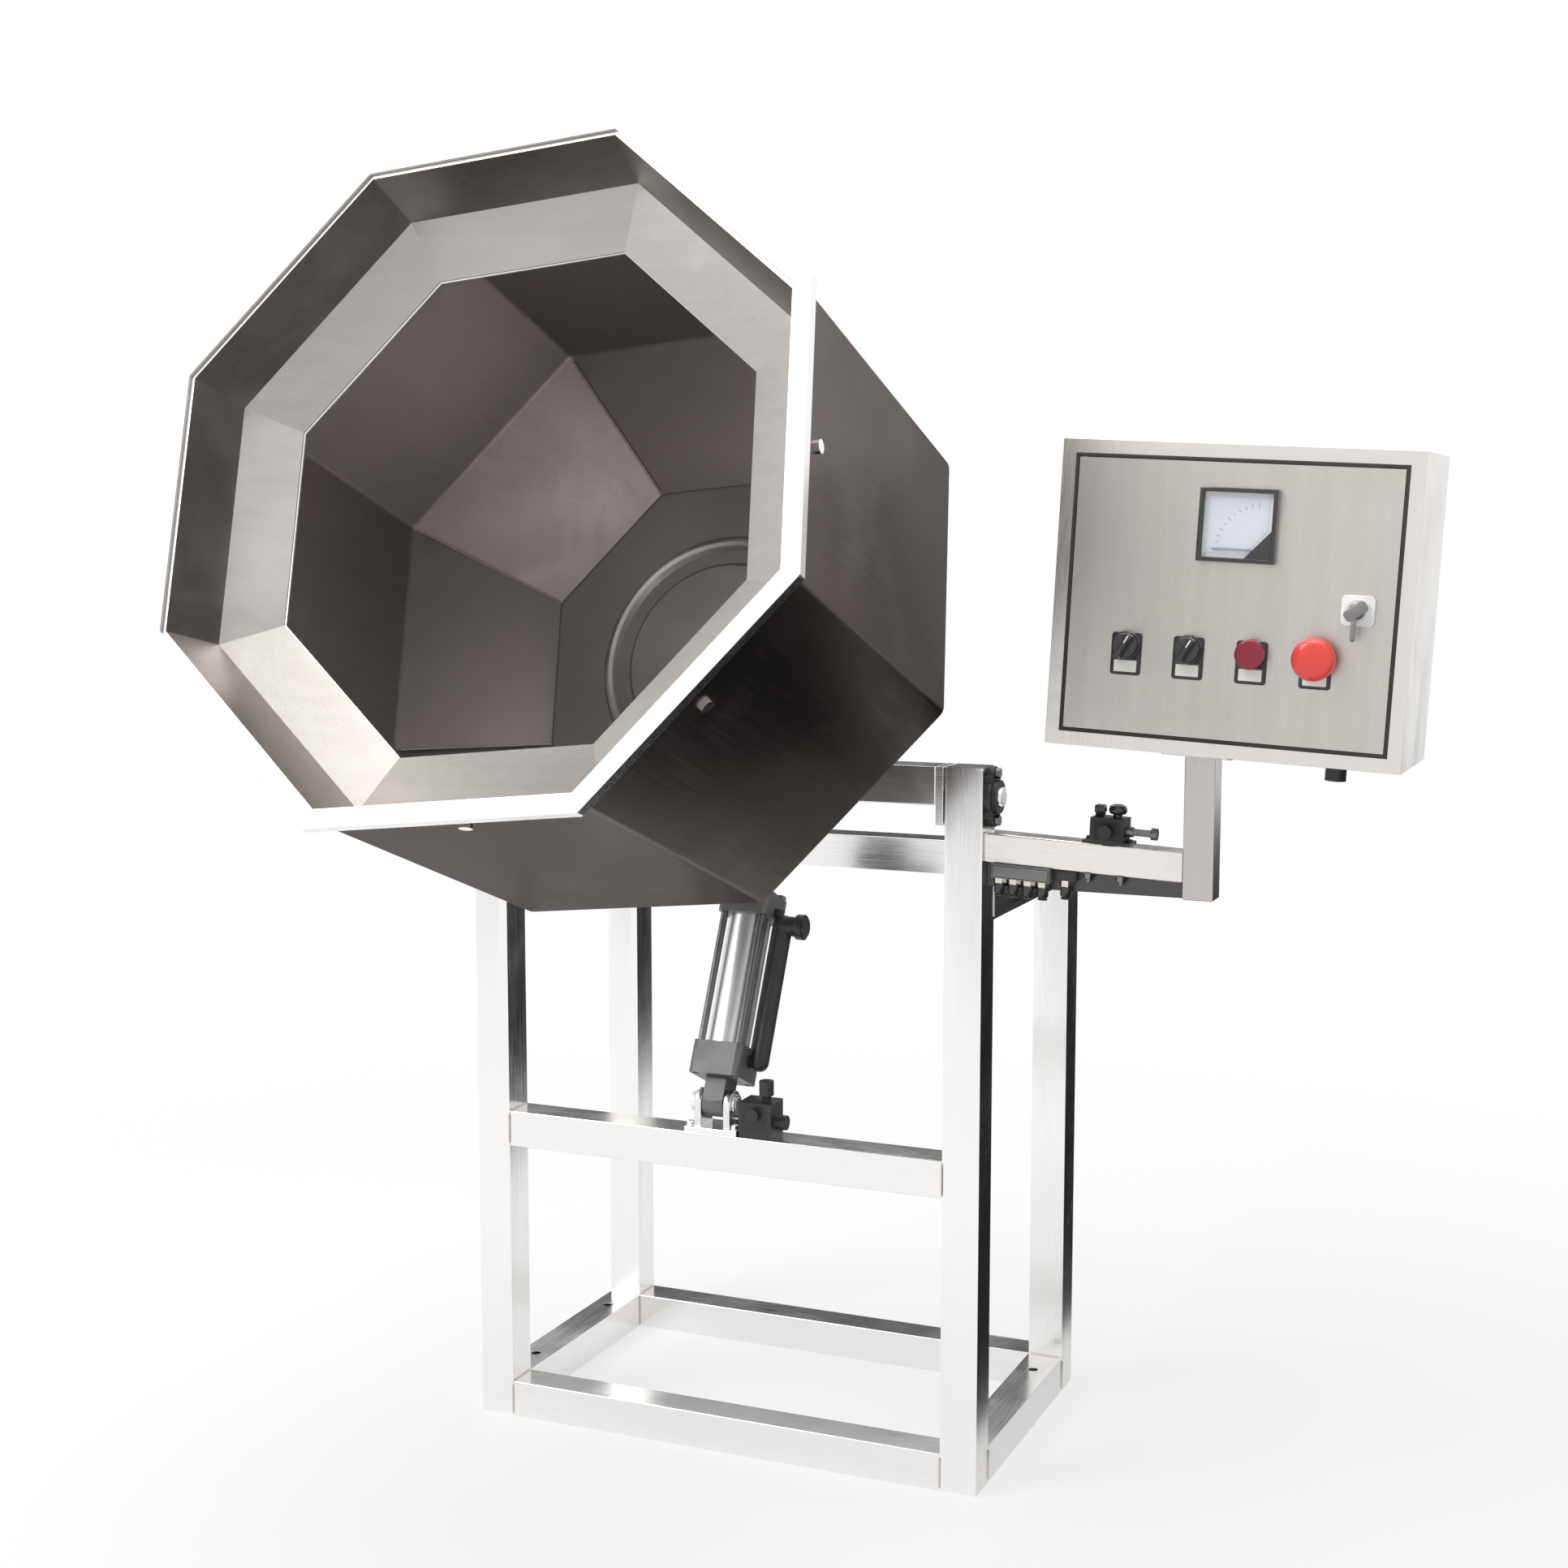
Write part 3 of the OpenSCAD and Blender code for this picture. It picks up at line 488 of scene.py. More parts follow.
@dataclass(frozen=True)
class PrintedCard(Finish):
    """A printed or engraved card with a soft paper-like variation."""

    shade: Colour

    def wire(self, p: Painter) -> None:
        """Wire the variation of tone and gloss.

        Args:
            p: The material's painter.
        """
        cloud = p.effect(p.effects.handling, Size=22.0)["Mask"]
        speck = p.effect(p.effects.speckle, Size=2500.0)["Speck"]
        p.shade({
            "Base Color": p.blend(p.scaled(cloud, 0.0, 0.6), self.colour, self.shade),
            "Roughness": p.scaled(speck, 0.42, 0.55),
        })


TUBE = ((0.80, 0.79, 0.78), (0.68, 0.67, 0.66), 0.19)
BRIGHT = ((0.88, 0.88, 0.88), (0.74, 0.74, 0.74))

CATALOGUE: tuple[Finish, ...] = (
    PolishedSteel("upright_tube", *TUBE, Grain.ALONG_Z, hazed=0.06, grazing=0.75),
    PolishedSteel("cross_tube", *TUBE, Grain.ALONG_X, hazed=0.06, grazing=0.75),
    PolishedSteel("side_tube", *TUBE, Grain.ALONG_Y, hazed=0.06, grazing=0.75),
    PolishedSteel("arm_tube", (0.81, 0.785, 0.75), (0.795, 0.77, 0.735), 0.24, Grain.ALONG_X,
                  turn=ARM_FRAME, relief=0.002, edge_light=0.3),
    # The post takes a darker copy of the arm's tube steel: painted shade.
    PolishedSteel("post_tube_painted_shade", (0.485, 0.457, 0.443), (0.460, 0.432, 0.419), 0.26,
                  relief=0.003),
    PolishedSteel("folded_sheet", (0.60, 0.57, 0.535), (0.515, 0.485, 0.455), 0.34,
                  turn=BOX_FRAME, fineness=1300.0, relief=0.025, edge_light=0.0),
    PolishedSteel("box_sheet", (0.73, 0.705, 0.68), (0.705, 0.68, 0.655), 0.24,
                  turn=BOX_FRAME, fineness=1300.0, relief=0.002, edge_light=0.2),
    PolishedSteel("drum_inside", (0.42, 0.39, 0.38), (0.35, 0.325, 0.315), 0.38,
                  turn=DRUM_FRAME, fineness=500.0),
    # The outside of the drum sheet takes a darker copy of the inside steel, with a dimmer
    # specular tint: painted shade.
    PolishedSteel("drum_outside_painted_shade", (0.225, 0.200, 0.191), (0.165, 0.146, 0.140), 0.32,
                  turn=DRUM_FRAME, fineness=500.0, grazing=0.3),
    PolishedSteel("drum_end", (0.42, 0.405, 0.39), (0.345, 0.33, 0.315), 0.34, Grain.TURNED,
                  turn=DRUM_FRAME),
    PolishedSteel("collar_sheet", (0.45, 0.425, 0.405), (0.37, 0.345, 0.325), 0.3,
                  Grain.ALONG_X, turn=DRUM_FRAME, fineness=1200.0, relief=0.015),
    PolishedSteel("rim_sheet", *BRIGHT, 0.25, Grain.ALONG_X, turn=DRUM_FRAME, relief=0.01),
    PolishedSteel("machined_steel", *BRIGHT, 0.2, Grain.ALONG_X, relief=0.03),
    PolishedSteel("turned_steel", *BRIGHT, 0.18, Grain.TURNED, turn=DRUM_FRAME, relief=0.03),
    PolishedSteel("dark_steel", (0.22, 0.21, 0.21), (0.15, 0.14, 0.14), 0.4, Grain.ALONG_X),
    # The web under the arm takes a near-black steel: painted shade.
    PolishedSteel("web_painted_shade", (0.075, 0.070, 0.070), (0.050, 0.047, 0.047), 0.45,
                  Grain.ALONG_X, grazing=0.4),
    PolishedSteel("anodised_alloy", (0.72, 0.72, 0.73), (0.62, 0.62, 0.63), 0.36,
                  turn=CYLINDER_FRAME),
    PolishedSteel("weld_steel", (0.52, 0.49, 0.46), (0.38, 0.33, 0.30), 0.36,
                  fineness=400.0, relief=0.2),
    PolishedSteel("nickel_brass", (0.62, 0.60, 0.54), (0.52, 0.50, 0.44), 0.24, Grain.ALONG_X,
                  relief=0.03),
    CastPaint("cast_alloy", (0.085, 0.087, 0.09), (0.060, 0.062, 0.065), 0.46,
              metallic=0.2, relief=0.1),
    CastPaint("black_iron", (0.020, 0.020, 0.022), (0.012, 0.012, 0.013), 0.5,
              coat=0.0, worn=(0.10, 0.10, 0.105)),
    CastPaint("grey_iron", (0.28, 0.30, 0.32), (0.22, 0.24, 0.26)),
    MouldedPlastic("black_plastic", (0.025, 0.025, 0.028)),
    MouldedPlastic("gloss_black", (0.02, 0.02, 0.022), 0.22, 0.4),
    MouldedPlastic("crimson_button", (0.27, 0.002, 0.028), 0.32, 0.25),
    MouldedPlastic("red_mushroom", (0.80, 0.055, 0.045), 0.3, 0.3),
    MouldedPlastic("seal_rubber", (0.02, 0.018, 0.016), 0.6),
    MouldedPlastic("white_enamel", (0.85, 0.85, 0.84), 0.35, 0.2),
    PrintedCard("meter_card", (0.86, 0.87, 0.89), (0.80, 0.82, 0.85)),
    PrintedCard("legend_card", (0.90, 0.89, 0.86), (0.84, 0.83, 0.80)),
    PrintedCard("meter_dial", (0.74, 0.77, 0.83), (0.70, 0.73, 0.79)),
    PrintedCard("print_grey", (0.32, 0.33, 0.35), (0.28, 0.29, 0.31)),
)

# Filled from the catalogue: bpy.data.materials also holds CAD materials of the same names
MATERIALS: dict[str, bpy.types.Material] = {}


# Modelling by operators


def focus(*objects: bpy.types.Object) -> None:
    """Leave edit mode, select only these objects and make the first one active.

    Args:
        objects: The objects.
    """
    if bpy.context.object and bpy.context.object.mode != "OBJECT":
        bpy.ops.object.mode_set(mode="OBJECT")
    bpy.ops.object.select_all(action="DESELECT")
    for obj in objects:
        obj.select_set(True)
    if objects:
        bpy.context.view_layer.objects.active = objects[0]


@contextmanager
def editing(obj: bpy.types.Object, mode: str = "FACE") -> Iterator[None]:
    """Work on one object in edit mode, with nothing selected at first.

    Args:
        obj: The object.
        mode: What is picked: VERT, EDGE or FACE.

    Yields:
        Nothing.
    """
    focus(obj)
    bpy.ops.object.mode_set(mode="EDIT")
    bpy.ops.mesh.select_mode(type=mode)
    bpy.ops.mesh.select_all(action="DESELECT")
    yield
    bpy.ops.object.mode_set(mode="OBJECT")


def pick_faces(obj: bpy.types.Object, test: Test) -> None:
    """Select the faces that pass a test.

    Args:
        obj: The object, in edit mode.
        test: Takes a face's centre and normal.
    """
    mesh = bmesh.from_edit_mesh(obj.data)
    for face in mesh.faces:
        face.select_set(test(face.calc_center_median(), face.normal))
    bmesh.update_edit_mesh(obj.data)


def pick_edges(obj: bpy.types.Object, test: Test) -> None:
    """Select the edges that pass a test.

    Args:
        obj: The object, in edit mode.
        test: Takes an edge's middle and its direction.
    """
    mesh = bmesh.from_edit_mesh(obj.data)
    for edge in mesh.edges:
        first, second = (v.co for v in edge.verts)
        edge.select_set(test((first + second) / 2, (second - first).normalized()))
    bmesh.update_edit_mesh(obj.data)


def modify(obj: bpy.types.Object, name: str, kind: str, **settings: object) -> None:
    """Add a live modifier and set it.

    Args:
        obj: The object.
        name: The modifier's name.
        kind: Its type.
        settings: Its properties.
    """
    made = obj.modifiers.new(name, kind)
    for key, value in settings.items():
        setattr(made, key, value)


def apply_modifier(obj: bpy.types.Object, kind: str, **settings: object) -> None:
    """Add a modifier, set it and apply it.

    Args:
        obj: The object.
        kind: The modifier's type.
        settings: Its properties.
    """
    focus(obj)
    modify(obj, kind.title(), kind, **settings)
    bpy.ops.object.modifier_apply(modifier=kind.title())


def soften(obj: bpy.types.Object, width: float, segments: int = 2) -> None:
    """Round the sharp edges of a piece."""
    apply_modifier(obj, "BEVEL", width=width, segments=segments, limit_method="ANGLE",
                   angle_limit=math.radians(30), harden_normals=False)


def settle(obj: bpy.types.Object, base: Matrix = MACHINE_FRAME) -> bpy.types.Object:
    """Move a piece into a frame and put its whole place into its mesh.

    Args:
        obj: The piece.
        base: The frame that it was modelled in.

    Returns:
        The same object.
    """
    focus(obj)
    obj.matrix_world = base @ obj.matrix_world
    bpy.ops.object.transform_apply(location=True, rotation=True, scale=True)
    return obj


def block(size: Point, centre: Point) -> bpy.types.Object:
    """Add a box as the start of a piece.

    Args:
        size: Its three sides.
        centre: Its middle.

    Returns:
        The new object.
    """
    focus()
    bpy.ops.mesh.primitive_cube_add(size=1, location=centre, scale=size)
    return settle(bpy.context.object)


def merged(objects: Sequence[bpy.types.Object]) -> bpy.types.Object:
    """Join pieces into the first one.

    Args:
        objects: The pieces.

    Returns:
        The joined object.
    """
    focus(*objects)
    if len(objects) > 1:
        bpy.ops.object.join()
    return bpy.context.view_layer.objects.active


def twin(obj: bpy.types.Object, move: Matrix) -> bpy.types.Object:
    """Copy a piece with its own mesh and move the copy.

    Args:
        obj: The piece to copy.
        move: Where the copy goes.

    Returns:
        The copy.
    """
    made = obj.copy()
    made.data = obj.data.copy()
    bpy.context.scene.collection.objects.link(made)
    made.matrix_world = move @ made.matrix_world
    return settle(made)


def spread_copies(obj: bpy.types.Object, places: Sequence[Matrix]) -> bpy.types.Object:
    """Set copies of a piece at several places, drop the first one and join them.

    Args:
        obj: The piece.
        places: Where each copy goes.

    Returns:
        The joined copies.
    """
    copies = [twin(obj, place) for place in places]
    bpy.data.objects.remove(obj)
    return merged(copies)


def corners(half_width: float, half_depth: float) -> list[tuple[float, float]]:
    """Give the four corners of a rectangle around the origin."""
    return [(sx * half_width, sy * half_depth) for sx in BOTH for sy in BOTH]


def around(count: int, radius: float, first: float) -> list[tuple[float, float]]:
    """Spread points evenly on a circle, from a first angle in degrees."""
    turns = [math.radians(first + 360 / count * k) for k in range(count)]
    return [(radius * math.cos(a), radius * math.sin(a)) for a in turns]


def clean(obj: bpy.types.Object) -> None:
    """Merge doubles and turn all faces outwards.

    Args:
        obj: The piece.
    """
    with editing(obj):
        bpy.ops.mesh.select_all(action="SELECT")
        bpy.ops.mesh.remove_doubles(threshold=0.02 * MM)
        bpy.ops.mesh.normals_make_consistent(inside=False)


def ring_stack(
    rings: Rings, sides: int = 48, turn: float = 0.0, capped: bool = True
) -> bpy.types.Object:
    """Raise a turned or many-sided form through rings, from the lowest up.

    Args:
        rings: Height and corner radius of each ring, in metres.
        sides: Sides of the rings.
        turn: Angle of the first corner in degrees.
        capped: Whether both ends are closed.

    Returns:
        The form, along +Z.
    """
    focus()
    height, radius = rings[0]
    bpy.ops.mesh.primitive_circle_add(
        vertices=sides, radius=radius, fill_type="NOTHING", location=(0, 0, height),
        rotation=(0, 0, math.radians(turn - 90)),
    )
    obj = settle(bpy.context.object)
    with editing(obj, "EDGE"):
        bpy.ops.mesh.select_all(action="SELECT")
        if capped:
            bpy.ops.mesh.edge_face_add()
            bpy.ops.mesh.select_mode(type="FACE")
        for level, wide in rings[1:]:
            bpy.ops.mesh.extrude_region_move(
                TRANSFORM_OT_translate={"value": (0, 0, level - height)}
            )
            grow = wide / radius
            bpy.ops.transform.resize(value=(grow, grow, 1), center_override=(0, 0, level))
            height, radius = level, wide
        if capped:
            bpy.ops.mesh.select_all(action="SELECT")
            bpy.ops.mesh.normals_make_consistent(inside=False)
    return obj


def bridge_ends(obj: bpy.types.Object) -> None:
    """Join the two open edges of a piece with faces.

    Args:
        obj: The piece.
    """
    with editing(obj, "EDGE"):
        bpy.ops.mesh.select_non_manifold()
        bpy.ops.mesh.bridge_edge_loops()
    clean(obj)


def cut_corner(obj: bpy.types.Object, place: Point, way: Point) -> None:
    """Cut a piece along a plane, close the cut and drop what lies beyond it.

    Args:
        obj: The piece.
        place: A point of the plane.
        way: Where the dropped side lies.
    """
    with editing(obj):
        bpy.ops.mesh.select_all(action="SELECT")
        bpy.ops.mesh.bisect(plane_co=place, plane_no=way, use_fill=True, clear_outer=True)
    clean(obj)


def raised(obj: bpy.types.Object, normal: Point, inset: float, rise: float) -> None:
    """Inset the faces that look one way and push them out or in.

    Args:
        obj: The piece.
        normal: Where the faces look.
        inset: How far in from their edge.
        rise: How far out; negative makes a recess.
    """
    way = Vector(normal)
    with editing(obj):
        far = max(v.co.dot(way) for v in bmesh.from_edit_mesh(obj.data).verts)
        pick_faces(obj, lambda c, n: n.dot(way) > 0.9 and c.dot(way) > far - 1e-5)
        bpy.ops.mesh.inset(thickness=inset, depth=0)
        bpy.ops.mesh.extrude_region_move(TRANSFORM_OT_translate={"value": tuple(way * rise)})


def round_corners(
    obj: bpy.types.Object, radius: float, segments: int, axis: Point
) -> bpy.types.Object:
    """Round the edges of a piece that run one way.

    Args:
        obj: The piece.
        radius: The radius of the rounding.
        segments: Steps of the rounding.
        axis: Where the edges run.

    Returns:
        The same object.
    """
    with editing(obj, "EDGE"):
        pick_edges(obj, lambda c, d: abs(d.dot(Vector(axis))) > 0.9)
        bpy.ops.mesh.bevel(offset=radius, segments=segments, affect="EDGES")
    return obj


def rounded_plate(width: float, height: float, thick: float, corner: float) -> bpy.types.Object:
    """Make a plate with round corners, standing in the XZ plane with its back at y 0.

    Args:
        width: Its size along x.
        height: Its size along z.
        thick: Its thickness towards -y.
        corner: The radius of its corners.

    Returns:
        The plate.
    """
    return round_corners(block((width, thick, height), (0, -thick / 2, 0)), corner, 5, (0, 1, 0))


def paint(obj: bpy.types.Object, finish: str, **others: Test) -> bpy.types.Object:
    """Give a piece its finish.

    Args:
        obj: The piece.
        finish: The finish that it takes.
        others: Further finishes, with a test of the faces that take each.

    Returns:
        The same object.
    """
    obj.data.materials.clear()
    for name in (finish, *others):
        obj.data.materials.append(MATERIALS[name])
    for index, test in enumerate(others.values(), start=1):
        with editing(obj):
            pick_faces(obj, test)
            obj.active_material_index = index
            bpy.ops.object.material_slot_assign()
    return obj


def weld_bead(length: float, radius: float, pitch: float) -> bpy.types.Object:
    """Lay a straight weld bead with its ripples, along +Z from the origin.

    Args:
        length: Its length.
        radius: Its mean radius.
        pitch: Distance between ripples.

    Returns:
        The bead.
    """
    steps = max(2, round(length / pitch))
    rings = [(0.0, radius * 0.6)]
    for k in range(steps):
        low = length * k / steps
        rings.append((low + length * 0.3 / steps, radius * 1.08))
        rings.append((low + length * 0.85 / steps, radius * 0.92))
    rings.append((length, radius * 0.6))
    return ring_stack(rings, 8)


def hex_screw(flats: float, head: float, washer: float = 0.0) -> bpy.types.Object:
    """Turn a hexagon head with a chamfered crown, along +Z from the origin.

    Args:
        flats: Width over the flats.
        head: Height of the head.
        washer: Thickness of the washer below it; 0 leaves it out.

    Returns:
        The screw's visible part.
    """
    corner, top = flats / math.sqrt(3), washer + head
    crown = ((washer, corner), (washer + head * 0.82, corner), (top, corner * 0.86))
    mark = ((top - 0.1 * MM, corner * 0.62), (top + 0.2 * MM, corner * 0.55))
    parts = [ring_stack(crown, 6), ring_stack(mark, 24)]
    if washer:
        disc = ((0.0, corner * 1.15), (washer * 0.3, corner * 1.25), (washer, corner * 1.22))
        parts.append(ring_stack(disc, 32))
    return merged(parts)


# Sub-assemblies


@dataclass(frozen=True)
class Coat:
    """A finish for CAD nodes, and live modifiers that round their edges."""

    finish: str
    nodes: tuple[str, ...]
    bevel: float = 0.0
    segments: int = 2

    def lay(self) -> None:
        """Dress the nodes; a bevel of 0 leaves their mesh as it is."""
        material = MATERIALS[self.finish]
        for name in self.nodes:
            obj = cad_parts[name]
            if not obj.material_slots:
                obj.data.materials.append(material)
            for slot in obj.material_slots:
                slot.material = material
            if self.bevel:
                modify(obj, "Weld", "WELD", merge_threshold=0.01 * MM)
                modify(obj, "Flat", "DECIMATE", decimate_type="DISSOLVE",
                       angle_limit=math.radians(0.5))
                modify(obj, "Rounding", "BEVEL", width=self.bevel, segments=self.segments,
                       limit_method="ANGLE", angle_limit=math.radians(32),
                       use_clamp_overlap=True, harden_normals=True)
            LOG.info("node %s takes %s", name, material.name)


class SubAssembly:
    """A part of the machine: its CAD nodes take their coats, and its own pieces are built."""

    base: ClassVar[Matrix] = MACHINE_FRAME
    coats: ClassVar[tuple[Coat, ...]] = ()

    def build(self) -> None:
        """Build the pieces that the CAD leaves out or shows plainly."""

    def dress(self) -> None:
        """Dress the whole sub-assembly."""
        LOG.info("sub-assembly %s", type(self).__name__)
        for coat in self.coats:
            coat.lay()
        self.build()

    def add(
        self, obj: bpy.types.Object, name: str, body: str, slot: str, finish: str = "",
        smooth: float = 35.0, place: Matrix = MACHINE_FRAME,
    ) -> bpy.types.Object:
        """Name a piece, place it, dress it and let it ride.

        Args:
            obj: The piece, modelled in the sub-assembly's frame.
            name: Its name.
            body: The CAD body that it rides on.
            slot: The record's material slot that it belongs to; not used.
            finish: Its finish; with none, what it has stays.
            smooth: Edges flatter than this many degrees are shaded smooth.
            place: Its place in the sub-assembly's frame.

        Returns:
            The same object.
        """
        settle(obj, self.base @ place)
        if self.base.determinant() < 0:
            clean(obj)
        obj.name = name
        obj.data.name = name
        if finish:
            paint(obj, finish)
        focus(obj)
        bpy.ops.object.shade_smooth_by_angle(angle=math.radians(smooth))
        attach(obj, body)
        LOG.info("piece %s rides on %s, %d faces", name, body, len(obj.data.polygons))
        return obj


@dataclass
class TubeFrame(SubAssembly):
    """The welded frame of square tube."""

    corner: float = 2.5 * MM
    coats = (
        Coat("upright_tube", ("front_leg_left", "front_leg_right", "rear_leg_left",
                              "rear_leg_right"), corner, 3),
        Coat("cross_tube", ("front_bottom_rail", "rear_bottom_rail", "mid_crossbar",
                            "rear_top_rail"), corner, 3),
        Coat("side_tube", ("side_bottom_rails", "side_top_rails"), corner, 3),
        Coat("black_plastic", ("tube_plugs",)),
        Coat("black_iron", ("pivot_bearings",), 1.0 * MM),
        Coat("dark_steel", ("pivot_bolts",), 0.4 * MM),
    )
    half_width: float = 0.296
    depth: float = 0.316
    tube: float = 0.04
    low: float = 0.02
    middle: float = 0.334
    high: float = 0.622
    bead: Point = (0.034, 0.0014, 0.0034)

    def joints(self) -> Iterator[tuple[str, Vector, Vector]]:
        """Go through the tube ends.

        Yields:
            The bead's way across an end, that way's vector, and the end's middle.
        """
        for side in BOTH:
            inner = side * (self.half_width - self.tube)
            for y, level in ((0.0, self.middle), (self.depth, self.high)):
                for z in (level, self.low):
                    yield "Y", Vector((0, 1, 0)), Vector((inner, y, z))
            x = side * (self.half_width - self.tube / 2)
            for z in (self.high, self.low):
                for y in (self.tube / 2, self.depth - self.tube / 2):
                    yield "X", Vector((1, 0, 0)), Vector((x, y, z))

    def build(self) -> None:
        """Lay a bead around every tube end, but for the sides ground flush at floor and back."""
        bead = settle(weld_bead(*self.bead), moved(0, 0, -self.bead[0] / 2))
        runs = {"X": turned(90, "Y"), "Y": turned(-90, "X"), "Z": MACHINE_FRAME}
        spots = []
        for across, way, joint in self.joints():
            for side in BOTH:
                off = side * self.tube / 2
                spots += [(across, joint + Vector((0, 0, off))), ("Z", joint + off * way)]
        back = self.depth + self.tube / 2
        places = [Matrix.Translation(spot) @ runs[run] for run, spot in spots
                  if spot.z > MM and spot.y < back - MM]
        self.add(spread_copies(bead, places), "frame_weld_beads", "frame", "tube_steel",
                 "weld_steel")


@dataclass
class MixingDrum(SubAssembly):
    """The eight-sided drum: shell, bottom, rim and collar."""

    base = DRUM_FRAME
    coats = (
        Coat("drum_end", ("drum_bottom",)),
        Coat("rim_sheet", ("drum_rim",), 1.2 * MM),
        Coat("collar_sheet", ("drum_collar",), 0.5 * MM),
        Coat("machined_steel", ("collar_screws",)),
        Coat("turned_steel", ("drum_shaft",)),
    )
    sides: int = 8
    turn: float = 28.5
    bottom_r: float = 0.214
    drum_r: float = 0.323
    taper: float = 0.153
    length: float = 0.542
    sheet: float = 0.002
    fold: float = 0.004
    throat: tuple[float, float] = (0.457, 0.245)  # level and corner radius of the free edge
    hem: float = 0.0022

    def shell(self) -> None:
        """Fold the shell of a tapered and a straight row of panels."""
        rings = ((0.0, self.bottom_r), (self.taper, self.drum_r), (self.length, self.drum_r))
        obj = ring_stack(rings, self.sides, self.turn, capped=False)
        with editing(obj, "EDGE"):
            pick_edges(obj, lambda c, d: abs(d.z) > 0.5 or abs(c.z - self.taper) < 1e-5)
            bpy.ops.mesh.bevel(offset=self.fold, segments=3, affect="EDGES")
        clean(obj)
        apply_modifier(obj, "SOLIDIFY", thickness=self.sheet, offset=-1, use_even_offset=True)
        # Outward faces take the darker outside finish, which is painted shade on the same steel
        # as the inward faces.
        paint(obj, "drum_outside_painted_shade", drum_inside=lambda c, n: n.x * c.x + n.y * c.y < 0)
        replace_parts(self.add(obj, "drum_shell_sheet", "drum", "drum_steel"), "drum_shell")

    def seams(self) -> None:
        """Lay a ground weld along every fold of the taper."""
        rise = Vector((self.drum_r - self.bottom_r, 0, self.taper))
        lean = Vector((0, 0, 1)).rotation_difference(rise.normalized()).to_matrix().to_4x4()
        obj = weld_bead(rise.length - 0.01, 0.0011, 0.004)
        settle(obj, moved(self.bottom_r - 0.0035, 0, 0.004) @ lean)
        places = [turned(self.turn - 90 + 45 * k, "Z") for k in range(self.sides)]
        self.add(spread_copies(obj, places), "drum_corner_welds", "drum", "drum_steel",
                 "weld_steel")

    def throat_hem(self) -> None:
        """Roll a hem around the collar's free edge."""
        level, radius = self.throat
        rings = [(level + up, radius + out) for up, out in around(12, self.hem, 0)]
        obj = ring_stack(rings, self.sides, self.turn, capped=False)
        bridge_ends(obj)
        self.add(obj, "collar_throat_hem", "drum", "sheet_steel", "rim_sheet", smooth=50)

    def build(self) -> None:
        """Build the shell, its welds and the hem."""
        self.shell()
        self.seams()
        self.throat_hem()


@dataclass
class TiltCradle(SubAssembly):
    """The beam, plate and webs that carry the drive."""

    corner: float = 2.5 * MM
    plate_edge: float = 0.8 * MM
    coats = (
        Coat("cross_tube", ("tilt_beam",), corner, 3),
        Coat("machined_steel", ("tilt_stubs",), 0.5 * MM),
        Coat("side_tube", ("cradle_plate", "cradle_gussets", "cylinder_lugs"), plate_edge),
    )


@dataclass
class DriveUnit(SubAssembly):
    """Hub housing, worm gearbox and finned motor."""

    base = DRIVE_FRAME
    coats = (
        Coat("grey_iron", ("hub_housing", "gearbox", "motor_body", "terminal_box"), 0.8 * MM),
        Coat("black_plastic", ("motor_fan_cover",), 0.6 * MM),
        Coat("machined_steel", ("hub_bolts",), 0.5 * MM),
    )
    back: float = -0.208
    half_side: float = 0.065
    worm_drop: float = 0.063
    worm_level: float = -0.163
    motor_face: float = 0.087
    lid: Point = (0.147, -0.063, -0.250)
    breather: Rings = ((0.007, 0.0045), (0.0095, 0.0055), (0.0140, 0.0055), (0.0155, 0.0040))

    def cover_screws(self) -> None:
        """Screw down the gearbox covers and the lid of the terminal box."""
        x, y, z = self.lid
        sets = (
            (hex_screw(0.010, 0.005, 0.001), around(4, 0.068, 45), (0, 0, self.back)),
            (hex_screw(0.007, 0.0035), around(6, 0.042, 30), (0, 0, self.back)),
            (hex_screw(0.0065, 0.003), corners(0.033, 0.027), (x, y, z)),
        )
        screws = [spread_copies(screw, [moved(u + dx, v + dy, w) @ UPSIDE_DOWN
                                        for dx, dy in spots])
                  for screw, spots, (u, v, w) in sets]
        self.add(merged(screws), "drive_cover_screws", "cradle", "bright_steel",
                 "machined_steel")

    def flange_screws(self) -> None:
        """Screw the motor to the gearbox between its fins."""
        places = [moved(self.motor_face, y - self.worm_drop, z + self.worm_level)
                  @ turned(90, "Y") for y, z in around(4, 0.0585, 52.5)]
        self.add(spread_copies(hex_screw(0.008, 0.0045), places), "motor_flange_screws",
                 "cradle", "bright_steel", "machined_steel")

    def oil_plugs(self) -> None:
        """Fit the breather and the level plug on the gearbox side."""
        breather = merged([hex_screw(0.012, 0.006, 0.0015), ring_stack(self.breather, 28)])
        settle(breather, moved(-0.030, self.half_side, self.worm_level) @ turned(-90, "X"))
        plug = hex_screw(0.012, 0.005, 0.0015)
        settle(plug, moved(-self.half_side, 0.022, self.worm_level) @ turned(-90, "Y"))
        self.add(merged([breather, plug]), "gearbox_plugs", "cradle", "bright_steel",
                 "nickel_brass")

    def build(self) -> None:
        """Fit the drive's screws and plugs."""
        self.cover_screws()
        self.flange_screws()
        self.oil_plugs()


